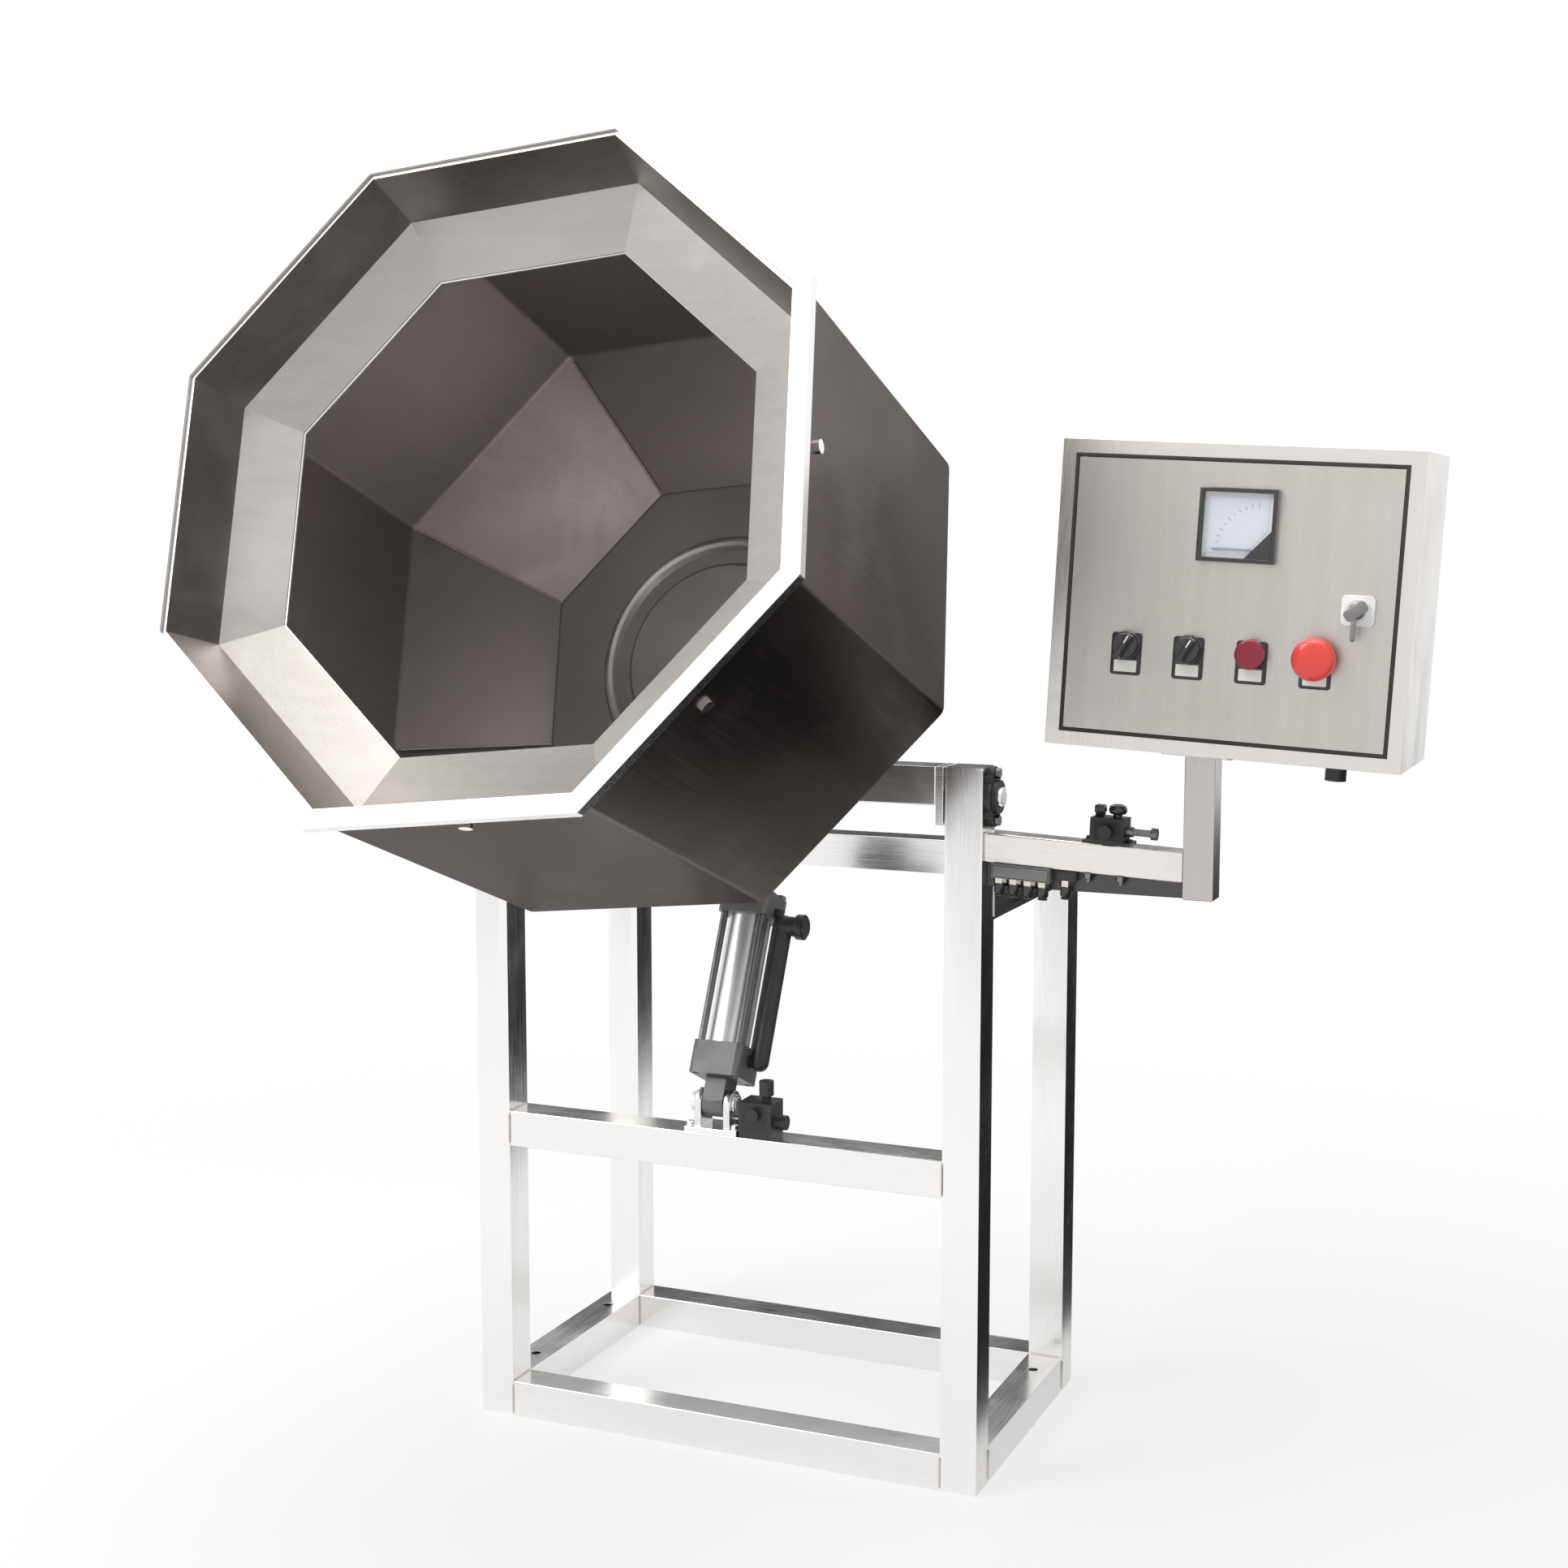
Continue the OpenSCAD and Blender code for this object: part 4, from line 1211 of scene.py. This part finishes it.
@dataclass
class TiltCylinder(SubAssembly):
    """The tie-rod cylinder with its bracket, pins, pipe and valve."""

    coats = (
        Coat("anodised_alloy", ("cyl_barrel",)),
        Coat("cast_alloy", ("cyl_caps",), 0.8 * MM),
        Coat("dark_steel", ("cyl_tie_rods",)),
        Coat("machined_steel", ("cyl_rod", "foot_pin", "rod_pin"), 0.4 * MM),
        Coat("dark_steel", ("rod_eye",), 0.8 * MM),
        Coat("cross_tube", ("foot_bracket",), 0.8 * MM),
        Coat("black_plastic", ("air_pipe", "flow_valve"), 0.8 * MM),
    )
    across: float = -0.008
    plate_top: float = 0.360

    def build(self) -> None:
        """Screw the foot bracket to the crossbar."""
        places = [moved(self.across + x, y, self.plate_top) for x, y in corners(0.0262, 0.013)]
        self.add(spread_copies(hex_screw(0.0075, 0.0040, 0.0008), places),
                 "foot_bracket_screws", "frame", "bright_steel", "machined_steel")


@dataclass
class ControlStand(SubAssembly):
    """The arm, its web, the post and the hand valve with its line of fittings."""

    base = ARM_FRAME
    coats = (
        Coat("arm_tube", ("control_arm",), 2.0 * MM, 3),
        # The post's darker finish is painted shade.
        Coat("post_tube_painted_shade", ("control_post",), 2.0 * MM, 3),
        # The web's near-black finish is painted shade under the arm.
        Coat("web_painted_shade", ("arm_brace",), 0.5 * MM),
        Coat("black_iron", ("hand_valve",), 0.8 * MM),
        Coat("dark_steel", ("valve_lever",), 0.8 * MM),
    )
    valve_at: float = 0.129
    valve_h: float = 0.026
    arm_half: float = 0.015
    nut: Rings = ((0.0, 0.0062), (0.0006, 0.0068), (0.0056, 0.0068), (0.0062, 0.0062))
    body: Rings = ((0.006, 0.0050), (0.0065, 0.0057), (0.0150, 0.0057), (0.0160, 0.0050))
    release: Rings = ((0.0155, 0.0036), (0.0172, 0.0036), (0.0174, 0.0050), (0.0186, 0.0050),
                      (0.0190, 0.0042))
    stud: Rings = ((0.005, 0.0024), (0.0095, 0.0024), (0.0100, 0.0019))
    plug: Rings = ((-0.001, 0.0060), (0.004, 0.0060), (0.0045, 0.0072), (0.0105, 0.0072),
                   (0.0115, 0.0062))
    knob: Rings = ((-0.001, 0.0045), (0.003, 0.0045), (0.0042, 0.0078), (0.0065, 0.0090),
                   (0.0095, 0.0090), (0.0118, 0.0078), (0.0130, 0.0050))

    def fitting(self) -> bpy.types.Object:
        """Turn one push-in fitting: a hexagon, a body and a release collar, along +Z."""
        return merged([paint(ring_stack(self.nut, 6), "nickel_brass"),
                       paint(ring_stack(self.body, 32), "gloss_black"),
                       paint(ring_stack(self.release, 32), "black_plastic")])

    def line(self) -> None:
        """Hang a short manifold with its fittings under the arm, beside the web."""
        bar = block((0.060, 0.016, 0.014), (0.045, -0.0125, -self.arm_half - 0.007))
        raised(bar, (0, -1, 0), 0.002, 0.001)
        soften(bar, 0.8 * MM)
        paint(bar, "cast_alloy")
        places = [moved(0.0225 + 0.015 * k, -0.0125, -self.arm_half - 0.0135) @ UPSIDE_DOWN
                  for k in range(4)]
        self.add(merged([bar, spread_copies(self.fitting(), places)]), "air_manifold", "frame",
                 "black_plastic")

    def under_valve(self) -> None:
        """Tighten the hand valve's four screws below the arm and hang its port beside them."""
        places = [moved(self.valve_at + x, y, -self.arm_half) @ UPSIDE_DOWN
                  for x, y in corners(0.0165, 0.0095)]
        nut = merged([hex_screw(0.009, 0.005, 0.001), ring_stack(self.stud, 16)])
        nuts = paint(spread_copies(nut, places), "dark_steel")
        port_at = self.valve_at - 0.0385
        port = block((0.021, 0.0085, 0.011), (port_at, -0.0098, -self.arm_half - 0.0055))
        raised(port, (0, -1, 0), 0.0015, 0.0008)
        soften(port, 0.7 * MM)
        paint(port, "black_iron")
        below = moved(port_at, -0.0098, -self.arm_half - 0.0105) @ UPSIDE_DOWN
        self.add(merged([nuts, port, settle(self.fitting(), below)]), "valve_fixings",
                 "frame", "dark_steel")

    def valve_top(self) -> None:
        """Turn the square-headed plug and the round exhaust knob on top of the hand valve."""
        top = self.arm_half + self.valve_h
        plug = ring_stack(self.plug, 4)
        soften(plug, 0.6 * MM)
        settle(plug, moved(self.valve_at - 0.0105, 0, top) @ turned(45, "Z"))
        knob = settle(ring_stack(self.knob, 36), moved(self.valve_at + 0.0070, 0, top))
        self.add(merged([plug, knob]), "hand_valve_knobs", "frame", "black_plastic",
                 "gloss_black")

    def build(self) -> None:
        """Hang the fittings and top the valve."""
        self.line()
        self.under_valve()
        self.valve_top()


@dataclass
class ControlBox(SubAssembly):
    """The sheet enclosure with its door, its fittings and what it houses."""

    base = BOX_FRAME
    coats = (
        Coat("box_sheet", ("box_shell",), 0.8 * MM),
        Coat("folded_sheet", ("box_door",), 0.8 * MM),
        Coat("machined_steel", ("door_pins",)),
        Coat("black_plastic", ("cable_gland",), 0.5 * MM),
        Coat("meter_card", ("meter_face",)),
        Coat("print_grey", ("meter_needle",)),
        Coat("white_enamel", ("lock_plate",), 1.0 * MM),
    )
    front: float = -0.080
    door: tuple[float, float] = (0.300, 0.256)
    meter: tuple[float, float] = (0.004, 0.071)
    devices: tuple[float, ...] = (-0.093, -0.034, 0.025, 0.084)
    row: float = -0.046
    lock: tuple[float, float] = (0.118, 0.0)
    seal_in: float = 0.0005
    seal_out: float = 0.0040
    plate_at: float = 0.0695
    knob_disc: Rings = ((-0.0255, 0.0078), (0.0, 0.0078), (0.0002, 0.0118), (0.0030, 0.0120),
                        (0.0042, 0.0110))
    push_cap: Rings = ((-0.0238, 0.0078), (0.004, 0.0078), (0.0041, 0.0125), (0.0050, 0.0137),
                       (0.0078, 0.0137), (0.0086, 0.0128), (0.0089, 0.0105), (0.0090, 0.0040))
    mushroom: Rings = ((-0.0218, 0.0078), (0.0062, 0.0078), (0.0064, 0.0175), (0.0078, 0.0195),
                       (0.0105, 0.0199), (0.0150, 0.0196), (0.0182, 0.0178), (0.0200, 0.0145),
                       (0.0208, 0.0095), (0.0210, 0.0040))
    barrel: Rings = ((-0.025, 0.0048), (0.0085, 0.0048), (0.0090, 0.0075), (0.0120, 0.0075),
                     (0.0128, 0.0066))
    bezel: Rings = ((-0.026, 0.0108), (0.0, 0.0108), (0.0002, 0.0138), (0.0028, 0.0139),
                    (0.0038, 0.0130), (0.0040, 0.0100), (0.0036, 0.0090), (0.0, 0.0086),
                    (-0.0258, 0.0086))
    spacer: Rings = ((0.0, 0.0055), (0.0005, 0.0060), (0.0080, 0.0060))

    def at(self, u: float, y: float, w: float, turn: float = 0.0) -> Matrix:
        """Place something with its own +Z to the front, turned clockwise in degrees."""
        return moved(u, y, w) @ turned(turn, "Y") @ turned(90, "X")

    def door_seal(self) -> None:
        """Fit the dark edge seal around the opening, over the border's inner edge."""
        width, height = (side + 2 * self.seal_out for side in self.door)
        obj = block((width, 0.0045, height), (0, self.front + 0.0017, 0))
        with editing(obj):
            pick_faces(obj, lambda c, n: abs(n.y) > 0.9)
            bpy.ops.mesh.inset(thickness=self.seal_out - self.seal_in, depth=0)
            bpy.ops.mesh.delete(type="FACE")
        bridge_ends(obj)
        soften(obj, 0.4 * MM)
        self.add(obj, "door_seal", "frame", "black_plastic", "seal_rubber")

    def meter_parts(self) -> None:
        """Build the meter's bezel and case, the cover over the movement and the dial."""
        place = moved(self.meter[0], self.front, self.meter[1])
        bezel = block((0.072, 0.009, 0.068), (0, -0.0045, 0))
        raised(bezel, (0, -1, 0), 0.004, -0.007)
        raised(bezel, (0, 1, 0), 0.006, 0.034)
        soften(bezel, 0.7 * MM)
        case = self.add(bezel, "meter_bezel", "door", "black_plastic", "gloss_black",
                        place=place)
        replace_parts(case, "meter_case")
        cover = block((0.026, 0.0016, 0.028), (0.020, -0.007, -0.017))
        cut_corner(cover, (0.0075, 0, -0.0305), (-0.733, 0, 0.680))
        soften(cover, 0.4 * MM)
        self.add(cover, "meter_cover", "door", "black_plastic", "gloss_black", place=place)
        dial = block((0.056, 0.0003, 0.052), (0, -0.00315, 0))
        cut_corner(dial, (0.0065, 0, -0.0275), (0.733, 0, -0.680))
        self.add(dial, "meter_dial", "door", "white_plastic", "meter_dial", place=place)

    def meter_ticks(self) -> None:
        """Print the dial's ticks, three long ones and eight short ones."""
        ticks = []
        for long, turns in ((0.005, (0, 5, 10)), (0.003, (1, 2, 3, 4, 6, 7, 8, 9))):
            mark = block((long, 0.0002, 0.0005), (0, 0, 0))
            raised(mark, (0, -1, 0), 0.00008, 0.00005)
            places = []
            for k in turns:
                angle = math.radians(180 - 8.5 * k)
                spot = Vector((math.cos(angle), 0, math.sin(angle))) * 0.041
                spot += Vector((0.022, -0.0034, -0.022))
                places.append(Matrix.Translation(spot) @ Matrix.Rotation(-angle, 4, "Y"))
            ticks.append(spread_copies(mark, places))
        self.add(merged(ticks), "meter_scale", "door", "white_plastic", "print_grey",
                 place=moved(self.meter[0], self.front, self.meter[1]))

    def bezels(self) -> None:
        """Turn the threaded bezels with a milled ring."""
        ring = ring_stack(self.bezel, 48, capped=False)
        bridge_ends(ring)
        rings = spread_copies(
            ring, [self.at(u, self.front - 0.0012, self.row) for u in self.devices])
        made = self.add(rings, "device_bezels", "door", "black_plastic", "gloss_black")
        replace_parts(made, "button_bezels")

    def legends(self) -> None:
        """Build a legend holder with its insert under each device."""
        holder = settle(rounded_plate(0.029, 0.040, 0.0012, 0.003), moved(0, 0, -0.008))
        ring = settle(rounded_plate(0.026, 0.0155, 0.0009, 0.0015), moved(0, -0.0011, -0.0195))
        soften(ring, 0.3 * MM)
        card = rounded_plate(0.0215, 0.011, 0.0007, 0.001)
        raised(card, (0, -1, 0), 0.0006, 0.0002)
        settle(card, moved(0, -0.0016, -0.0195))
        holder = merged([holder, ring])
        soften(holder, 0.3 * MM)
        places = [moved(u, self.front, self.row) for u in self.devices]
        made = self.add(spread_copies(holder, places), "legend_holders", "door",
                        "black_plastic", "black_plastic")
        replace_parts(made, "legend_plates")
        self.add(spread_copies(card, places), "legend_inserts", "door", "legend_plastic",
                 "legend_card")

    def selectors(self) -> None:
        """Turn a knob with a flared grip and set it on both selectors."""
        grip = block((0.0075, 0.0255, 0.011), (0, 0, 0.0095))
        with editing(grip):
            bpy.ops.mesh.select_all(action="SELECT")
            bpy.ops.mesh.subdivide(number_cuts=3)
        for level, share in ((0.0, 0.72), (0.006375, 0.79)):
            with editing(grip, "EDGE"):
                pick_edges(grip, lambda c, d, y=level: abs(abs(c.y) - y) < 1e-5
                           and abs(d.y) < 0.5)
                bpy.ops.transform.resize(value=(share, 1, 1), center_override=(0, 0, 0))
        apply_modifier(grip, "BEVEL", width=1.2 * MM, segments=3, limit_method="ANGLE")
        pointer = block((0.0014, 0.008, 0.0006), (0, 0.0075, 0.0152))
        soften(pointer, 0.2 * MM)
        knob = merged([paint(ring_stack(self.knob_disc), "gloss_black"),
                       paint(grip, "gloss_black"), paint(pointer, "meter_card")])
        nodes = (("selector_left", "left"), ("selector_right", "right"))
        for u, (node, name) in zip(self.devices, nodes):
            made = self.add(twin(knob, self.at(u, self.front - 0.0054, self.row, 30)),
                            f"selector_{name}_knob", f"{name}_selector", "black_plastic")
            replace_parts(made, node)
        bpy.data.objects.remove(knob)

    def buttons(self) -> None:
        """Turn the push button's cap and the mushroom head."""
        push = paint(ring_stack(self.push_cap, 64), "crimson_button",
                     gloss_black=lambda c, n: c.z < 0.003)
        settle(push, self.at(self.devices[2], self.front - 0.0052, self.row))
        made = self.add(push, "push_button_cap", "start_button", "crimson_plastic", smooth=40)
        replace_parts(made, "push_button")
        stop = paint(ring_stack(self.mushroom, 64), "red_mushroom",
                     gloss_black=lambda c, n: c.z < 0.0055)
        settle(stop, self.at(self.devices[3], self.front - 0.0052, self.row))
        made = self.add(stop, "stop_mushroom", "stop", "red_plastic", smooth=50)
        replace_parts(made, "stop_button")

    def key(self) -> None:
        """Cut a key with a slanted head, a collar and a blade that hangs down."""
        cam = block((0.010, 0.034, 0.004), (0, -0.013, -0.023))
        head = round_corners(block((0.022, 0.011, 0.006), (0, 0, 0.0155)), 0.0035, 4,
                             (0, 0, 1))
        settle(head, turned(38, "Z"))
        stem = block((0.0042, 0.026, 0.0034), (-0.001, -0.013, 0.0165))
        raised(stem, (0, -1, 0), 0.0006, 0.0015)
        for piece in (cam, head, stem):
            soften(piece, 0.5 * MM)
        obj = merged([ring_stack(self.barrel, 40), cam, head, stem])
        settle(obj, self.at(self.lock[0], self.front, self.lock[1]))
        made = self.add(obj, "lock_key_head", "key", "dark_steel", "dark_steel")
        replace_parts(made, "lock_key")

    def device(self, size: Point, place: Point, nose: tuple[float, float]) -> bpy.types.Object:
        """Mould a device that stands on the mounting plate.

        Args:
            size: Its width, depth and height.
            place: Its middle across, where its back stands, and its middle up.
            nose: How far its front is set in and how far it stands out.

        Returns:
            The device.
        """
        u, back, w = place
        obj = block(size, (u, back - size[1] / 2, w))
        raised(obj, (0, -1, 0), *nose)
        soften(obj, 0.8 * MM)
        return obj

    def plate_and_rails(self) -> None:
        """Hang the mounting plate on its studs and screw two rails to it."""
        pieces = [settle(rounded_plate(0.290, 0.246, 0.002, 0.004), moved(0, self.plate_at, 0))]
        for u, w, length in ((-0.045, 0.060, 0.180), (0.0, -0.080, 0.262)):
            rail = block((length, 0.0075, 0.035), (u, self.plate_at - 0.00575, w))
            raised(rail, (0, -1, 0), 0.004, -0.0055)
            pieces.append(rail)
        for first, off in ((hex_screw(0.010, 0.005, 0.001), -0.002),
                           (ring_stack(self.spacer, 24), 0.008)):
            places = [self.at(u, self.plate_at + off, w) for u, w in corners(0.135, 0.113)]
            pieces.append(spread_copies(first, places))
        self.add(merged(pieces), "mounting_plate", "frame", "bright_steel", "machined_steel")

    def switchgear(self) -> None:
        """Clip breakers, contactors and terminals on the rails and set drive and duct by them."""
        rail, plate = self.plate_at - 0.0095, self.plate_at - 0.002
        breaker = self.device((0.0175, 0.044, 0.082), (0, rail, 0.060), (0.0035, 0.012))
        paint(breaker, "white_enamel")
        toggle = block((0.0075, 0.007, 0.012), (0, rail - 0.0585, 0.060))
        soften(toggle, 0.8 * MM)
        paint(toggle, "gloss_black")
        contactor = self.device((0.044, 0.050, 0.075), (0, rail, 0.060), (0.006, 0.014))
        paint(contactor, "black_plastic", white_enamel=lambda c, n: c.y < rail - 0.051)
        terminal = self.device((0.0058, 0.034, 0.044), (0, rail, -0.080), (0.0013, 0.005))
        paint(terminal, "print_grey",
              machined_steel=lambda c, n: n.y < -0.9 and c.y < rail - 0.038)
        sets = (
            (merged([breaker, toggle]), (-0.119, -0.101)),
            (contactor, (-0.064, -0.016)),
            (terminal, [-0.112 + 0.0062 * k for k in range(18)]),
        )
        rows = [spread_copies(first, [moved(u, 0, 0) for u in spots]) for first, spots in sets]
        self.add(merged(rows), "switchgear", "frame", "white_plastic")
        drive = self.device((0.074, 0.060, 0.128), (0.095, plate, 0.040), (0.007, 0.006))
        keys = self.device((0.030, 0.003, 0.022), (0.095, self.plate_at - 0.0678, 0.062),
                           (0.002, 0.0008))
        self.add(merged([drive, keys]), "motor_drive", "frame", "black_plastic",
                 "black_plastic")
        duct = self.device((0.180, 0.034, 0.026), (-0.045, plate, -0.005), (0.0015, 0.0012))
        self.add(duct, "cable_duct", "frame", "white_plastic", "print_grey")

    def build(self) -> None:
        """Build the fittings of the door and what the box houses."""
        self.door_seal()
        self.meter_parts()
        self.meter_ticks()
        self.bezels()
        self.legends()
        self.selectors()
        self.buttons()
        self.key()
        self.plate_and_rails()
        self.switchgear()


@dataclass
class Studio:
    """Floor, light and camera."""

    camera_at: Point = (0.988, -2.133, 0.991)
    pitch: float = 83.7
    yaw: float = 23.28
    lens: float = 50.98
    floor_glow: float = 0.6
    card_tone: float = 0.012

    def floor(self) -> None:
        """Lay a pale floor that fades to white and keeps the shadow."""
        focus()
        bpy.ops.mesh.primitive_plane_add(size=60)
        obj = bpy.context.object
        obj.name = "studio_floor"
        material = bpy.data.materials.new("studio_floor")
        material.use_nodes = True
        g = Graph(material.node_tree)
        matt = g.tree.nodes["Principled BSDF"]
        g.feed(matt.inputs["Base Color"], (0.82, 0.82, 0.82))
        g.feed(matt.inputs["Roughness"], 0.9)
        path = g.node("LightPath").outputs
        seen = g.math("MAXIMUM", path["Is Camera Ray"], path["Is Glossy Ray"])
        place = g.node("TexCoord").outputs["Object"]
        reach = g.node("VectorMath", {0: place}, operation="LENGTH").outputs["Value"]
        fade = g.ranged(reach, (0.5, 2.2), (self.floor_glow, 1.0), "SMOOTHSTEP")
        glow = g.node("Emission").outputs[0]
        parts = {"Fac": g.math("MULTIPLY", seen, fade), 1: matt.outputs[0], 2: glow}
        surface = g.tree.nodes["Material Output"].inputs["Surface"]
        g.feed(surface, g.node("MixShader", parts).outputs[0])
        obj.data.materials.append(material)

    def world(self) -> None:
        """Surround camera, glossy and glass rays with white, and light with a soft grey."""
        scene = bpy.context.scene
        scene.world = bpy.data.worlds.new("studio_world")
        scene.world.use_nodes = True
        g = Graph(scene.world.node_tree)
        back = g.tree.nodes["Background"].inputs
        g.feed(back["Color"], (1, 1, 1))
        path = g.node("LightPath").outputs
        clear = g.math("MAXIMUM", path["Is Glossy Ray"], path["Is Transmission Ray"])
        seen = g.math("MAXIMUM", path["Is Camera Ray"], clear)
        g.feed(back["Strength"], g.ranged(seen, target=(0.55, 1.0)))

    def lamp(self, name: str, place: Point, aim: Point, size: float, power: float) -> None:
        """Hang a square soft box.

        Args:
            name: Its name.
            place: Where it hangs.
            aim: What it points at.
            size: Its side.
            power: Its power in watts.
        """
        data = bpy.data.lights.new(name, "AREA")
        data.size = size
        data.energy = power
        obj = bpy.data.objects.new(name, data)
        bpy.context.scene.collection.objects.link(obj)
        obj.location = place
        obj.rotation_euler = (Vector(aim) - Vector(place)).to_track_quat("-Z", "Y").to_euler()

    def card(self, name: str, place: Point, aim: Point, size: tuple[float, float]) -> None:
        """Stand a dark card that only reflections see, so that polished metal shows its shape.

        Args:
            name: Its name.
            place: Its middle.
            aim: What it faces.
            size: Its width and height.
        """
        focus()
        bpy.ops.mesh.primitive_plane_add(size=1)
        obj = bpy.context.object
        obj.name = name
        obj.scale = (*size, 1)
        obj.location = place
        obj.rotation_euler = (Vector(aim) - Vector(place)).to_track_quat("Z", "Y").to_euler()
        material = bpy.data.materials.new(name)
        material.use_nodes = True
        g = Graph(material.node_tree)
        matt = g.tree.nodes["Principled BSDF"].inputs
        g.feed(matt["Base Color"], (self.card_tone,) * 3)
        g.feed(matt["Roughness"], 1.0)
        g.feed(matt["Specular IOR Level"], 0.0)
        obj.data.materials.append(material)
        obj.visible_camera = False
        obj.visible_diffuse = False
        obj.visible_shadow = False

    def camera(self) -> None:
        """Set the camera at the photograph's place."""
        data = bpy.data.cameras.new("photo_camera")
        data.lens = self.lens
        data.sensor_width = 36.0
        data.clip_end = 100
        obj = bpy.data.objects.new("photo_camera", data)
        bpy.context.scene.collection.objects.link(obj)
        obj.location = self.camera_at
        obj.rotation_euler = (math.radians(self.pitch), 0, math.radians(self.yaw))
        bpy.context.scene.camera = obj

    def build(self) -> None:
        """Set up the whole studio."""
        bpy.context.scene.view_settings.view_transform = "Standard"
        self.camera()
        self.world()
        self.floor()
        self.lamp("key_soft_box", (-2.6, -3.2, 3.8), (0, 0, 0.8), 2.4, 150)
        self.lamp("top_soft_box", (0.3, -0.4, 3.6), (0, 0, 0.6), 2.6, 70)
        self.card("back_left_card", (-1.7, 3.6, 1.1), (-1.7, 0, 1.1), (3.8, 1.25))
        self.card("back_right_card", (2.9, 3.6, 0.14), (2.9, 0, 0.14), (5.4, 0.28))
        self.card("right_card", (4.6, 1.2, 0.14), (0, 1.2, 0.14), (4.8, 0.28))
        self.card("low_card", (2.4, 1.4, 0.004), (2.4, 1.4, 4.0), (4.1, 4.4))


def main() -> None:
    """Build every sub-assembly in order and report it."""
    logging.basicConfig(level=logging.INFO, format="%(name)s: %(message)s")
    effects = Effects()
    for finish in CATALOGUE:
        MATERIALS[finish.name] = finish.make(effects)
    for part in (TubeFrame(), MixingDrum(), TiltCradle(), DriveUnit(), TiltCylinder(),
                 ControlStand(), ControlBox()):
        part.dress()
    Studio().build()


if __name__ == "__main__":
    main()
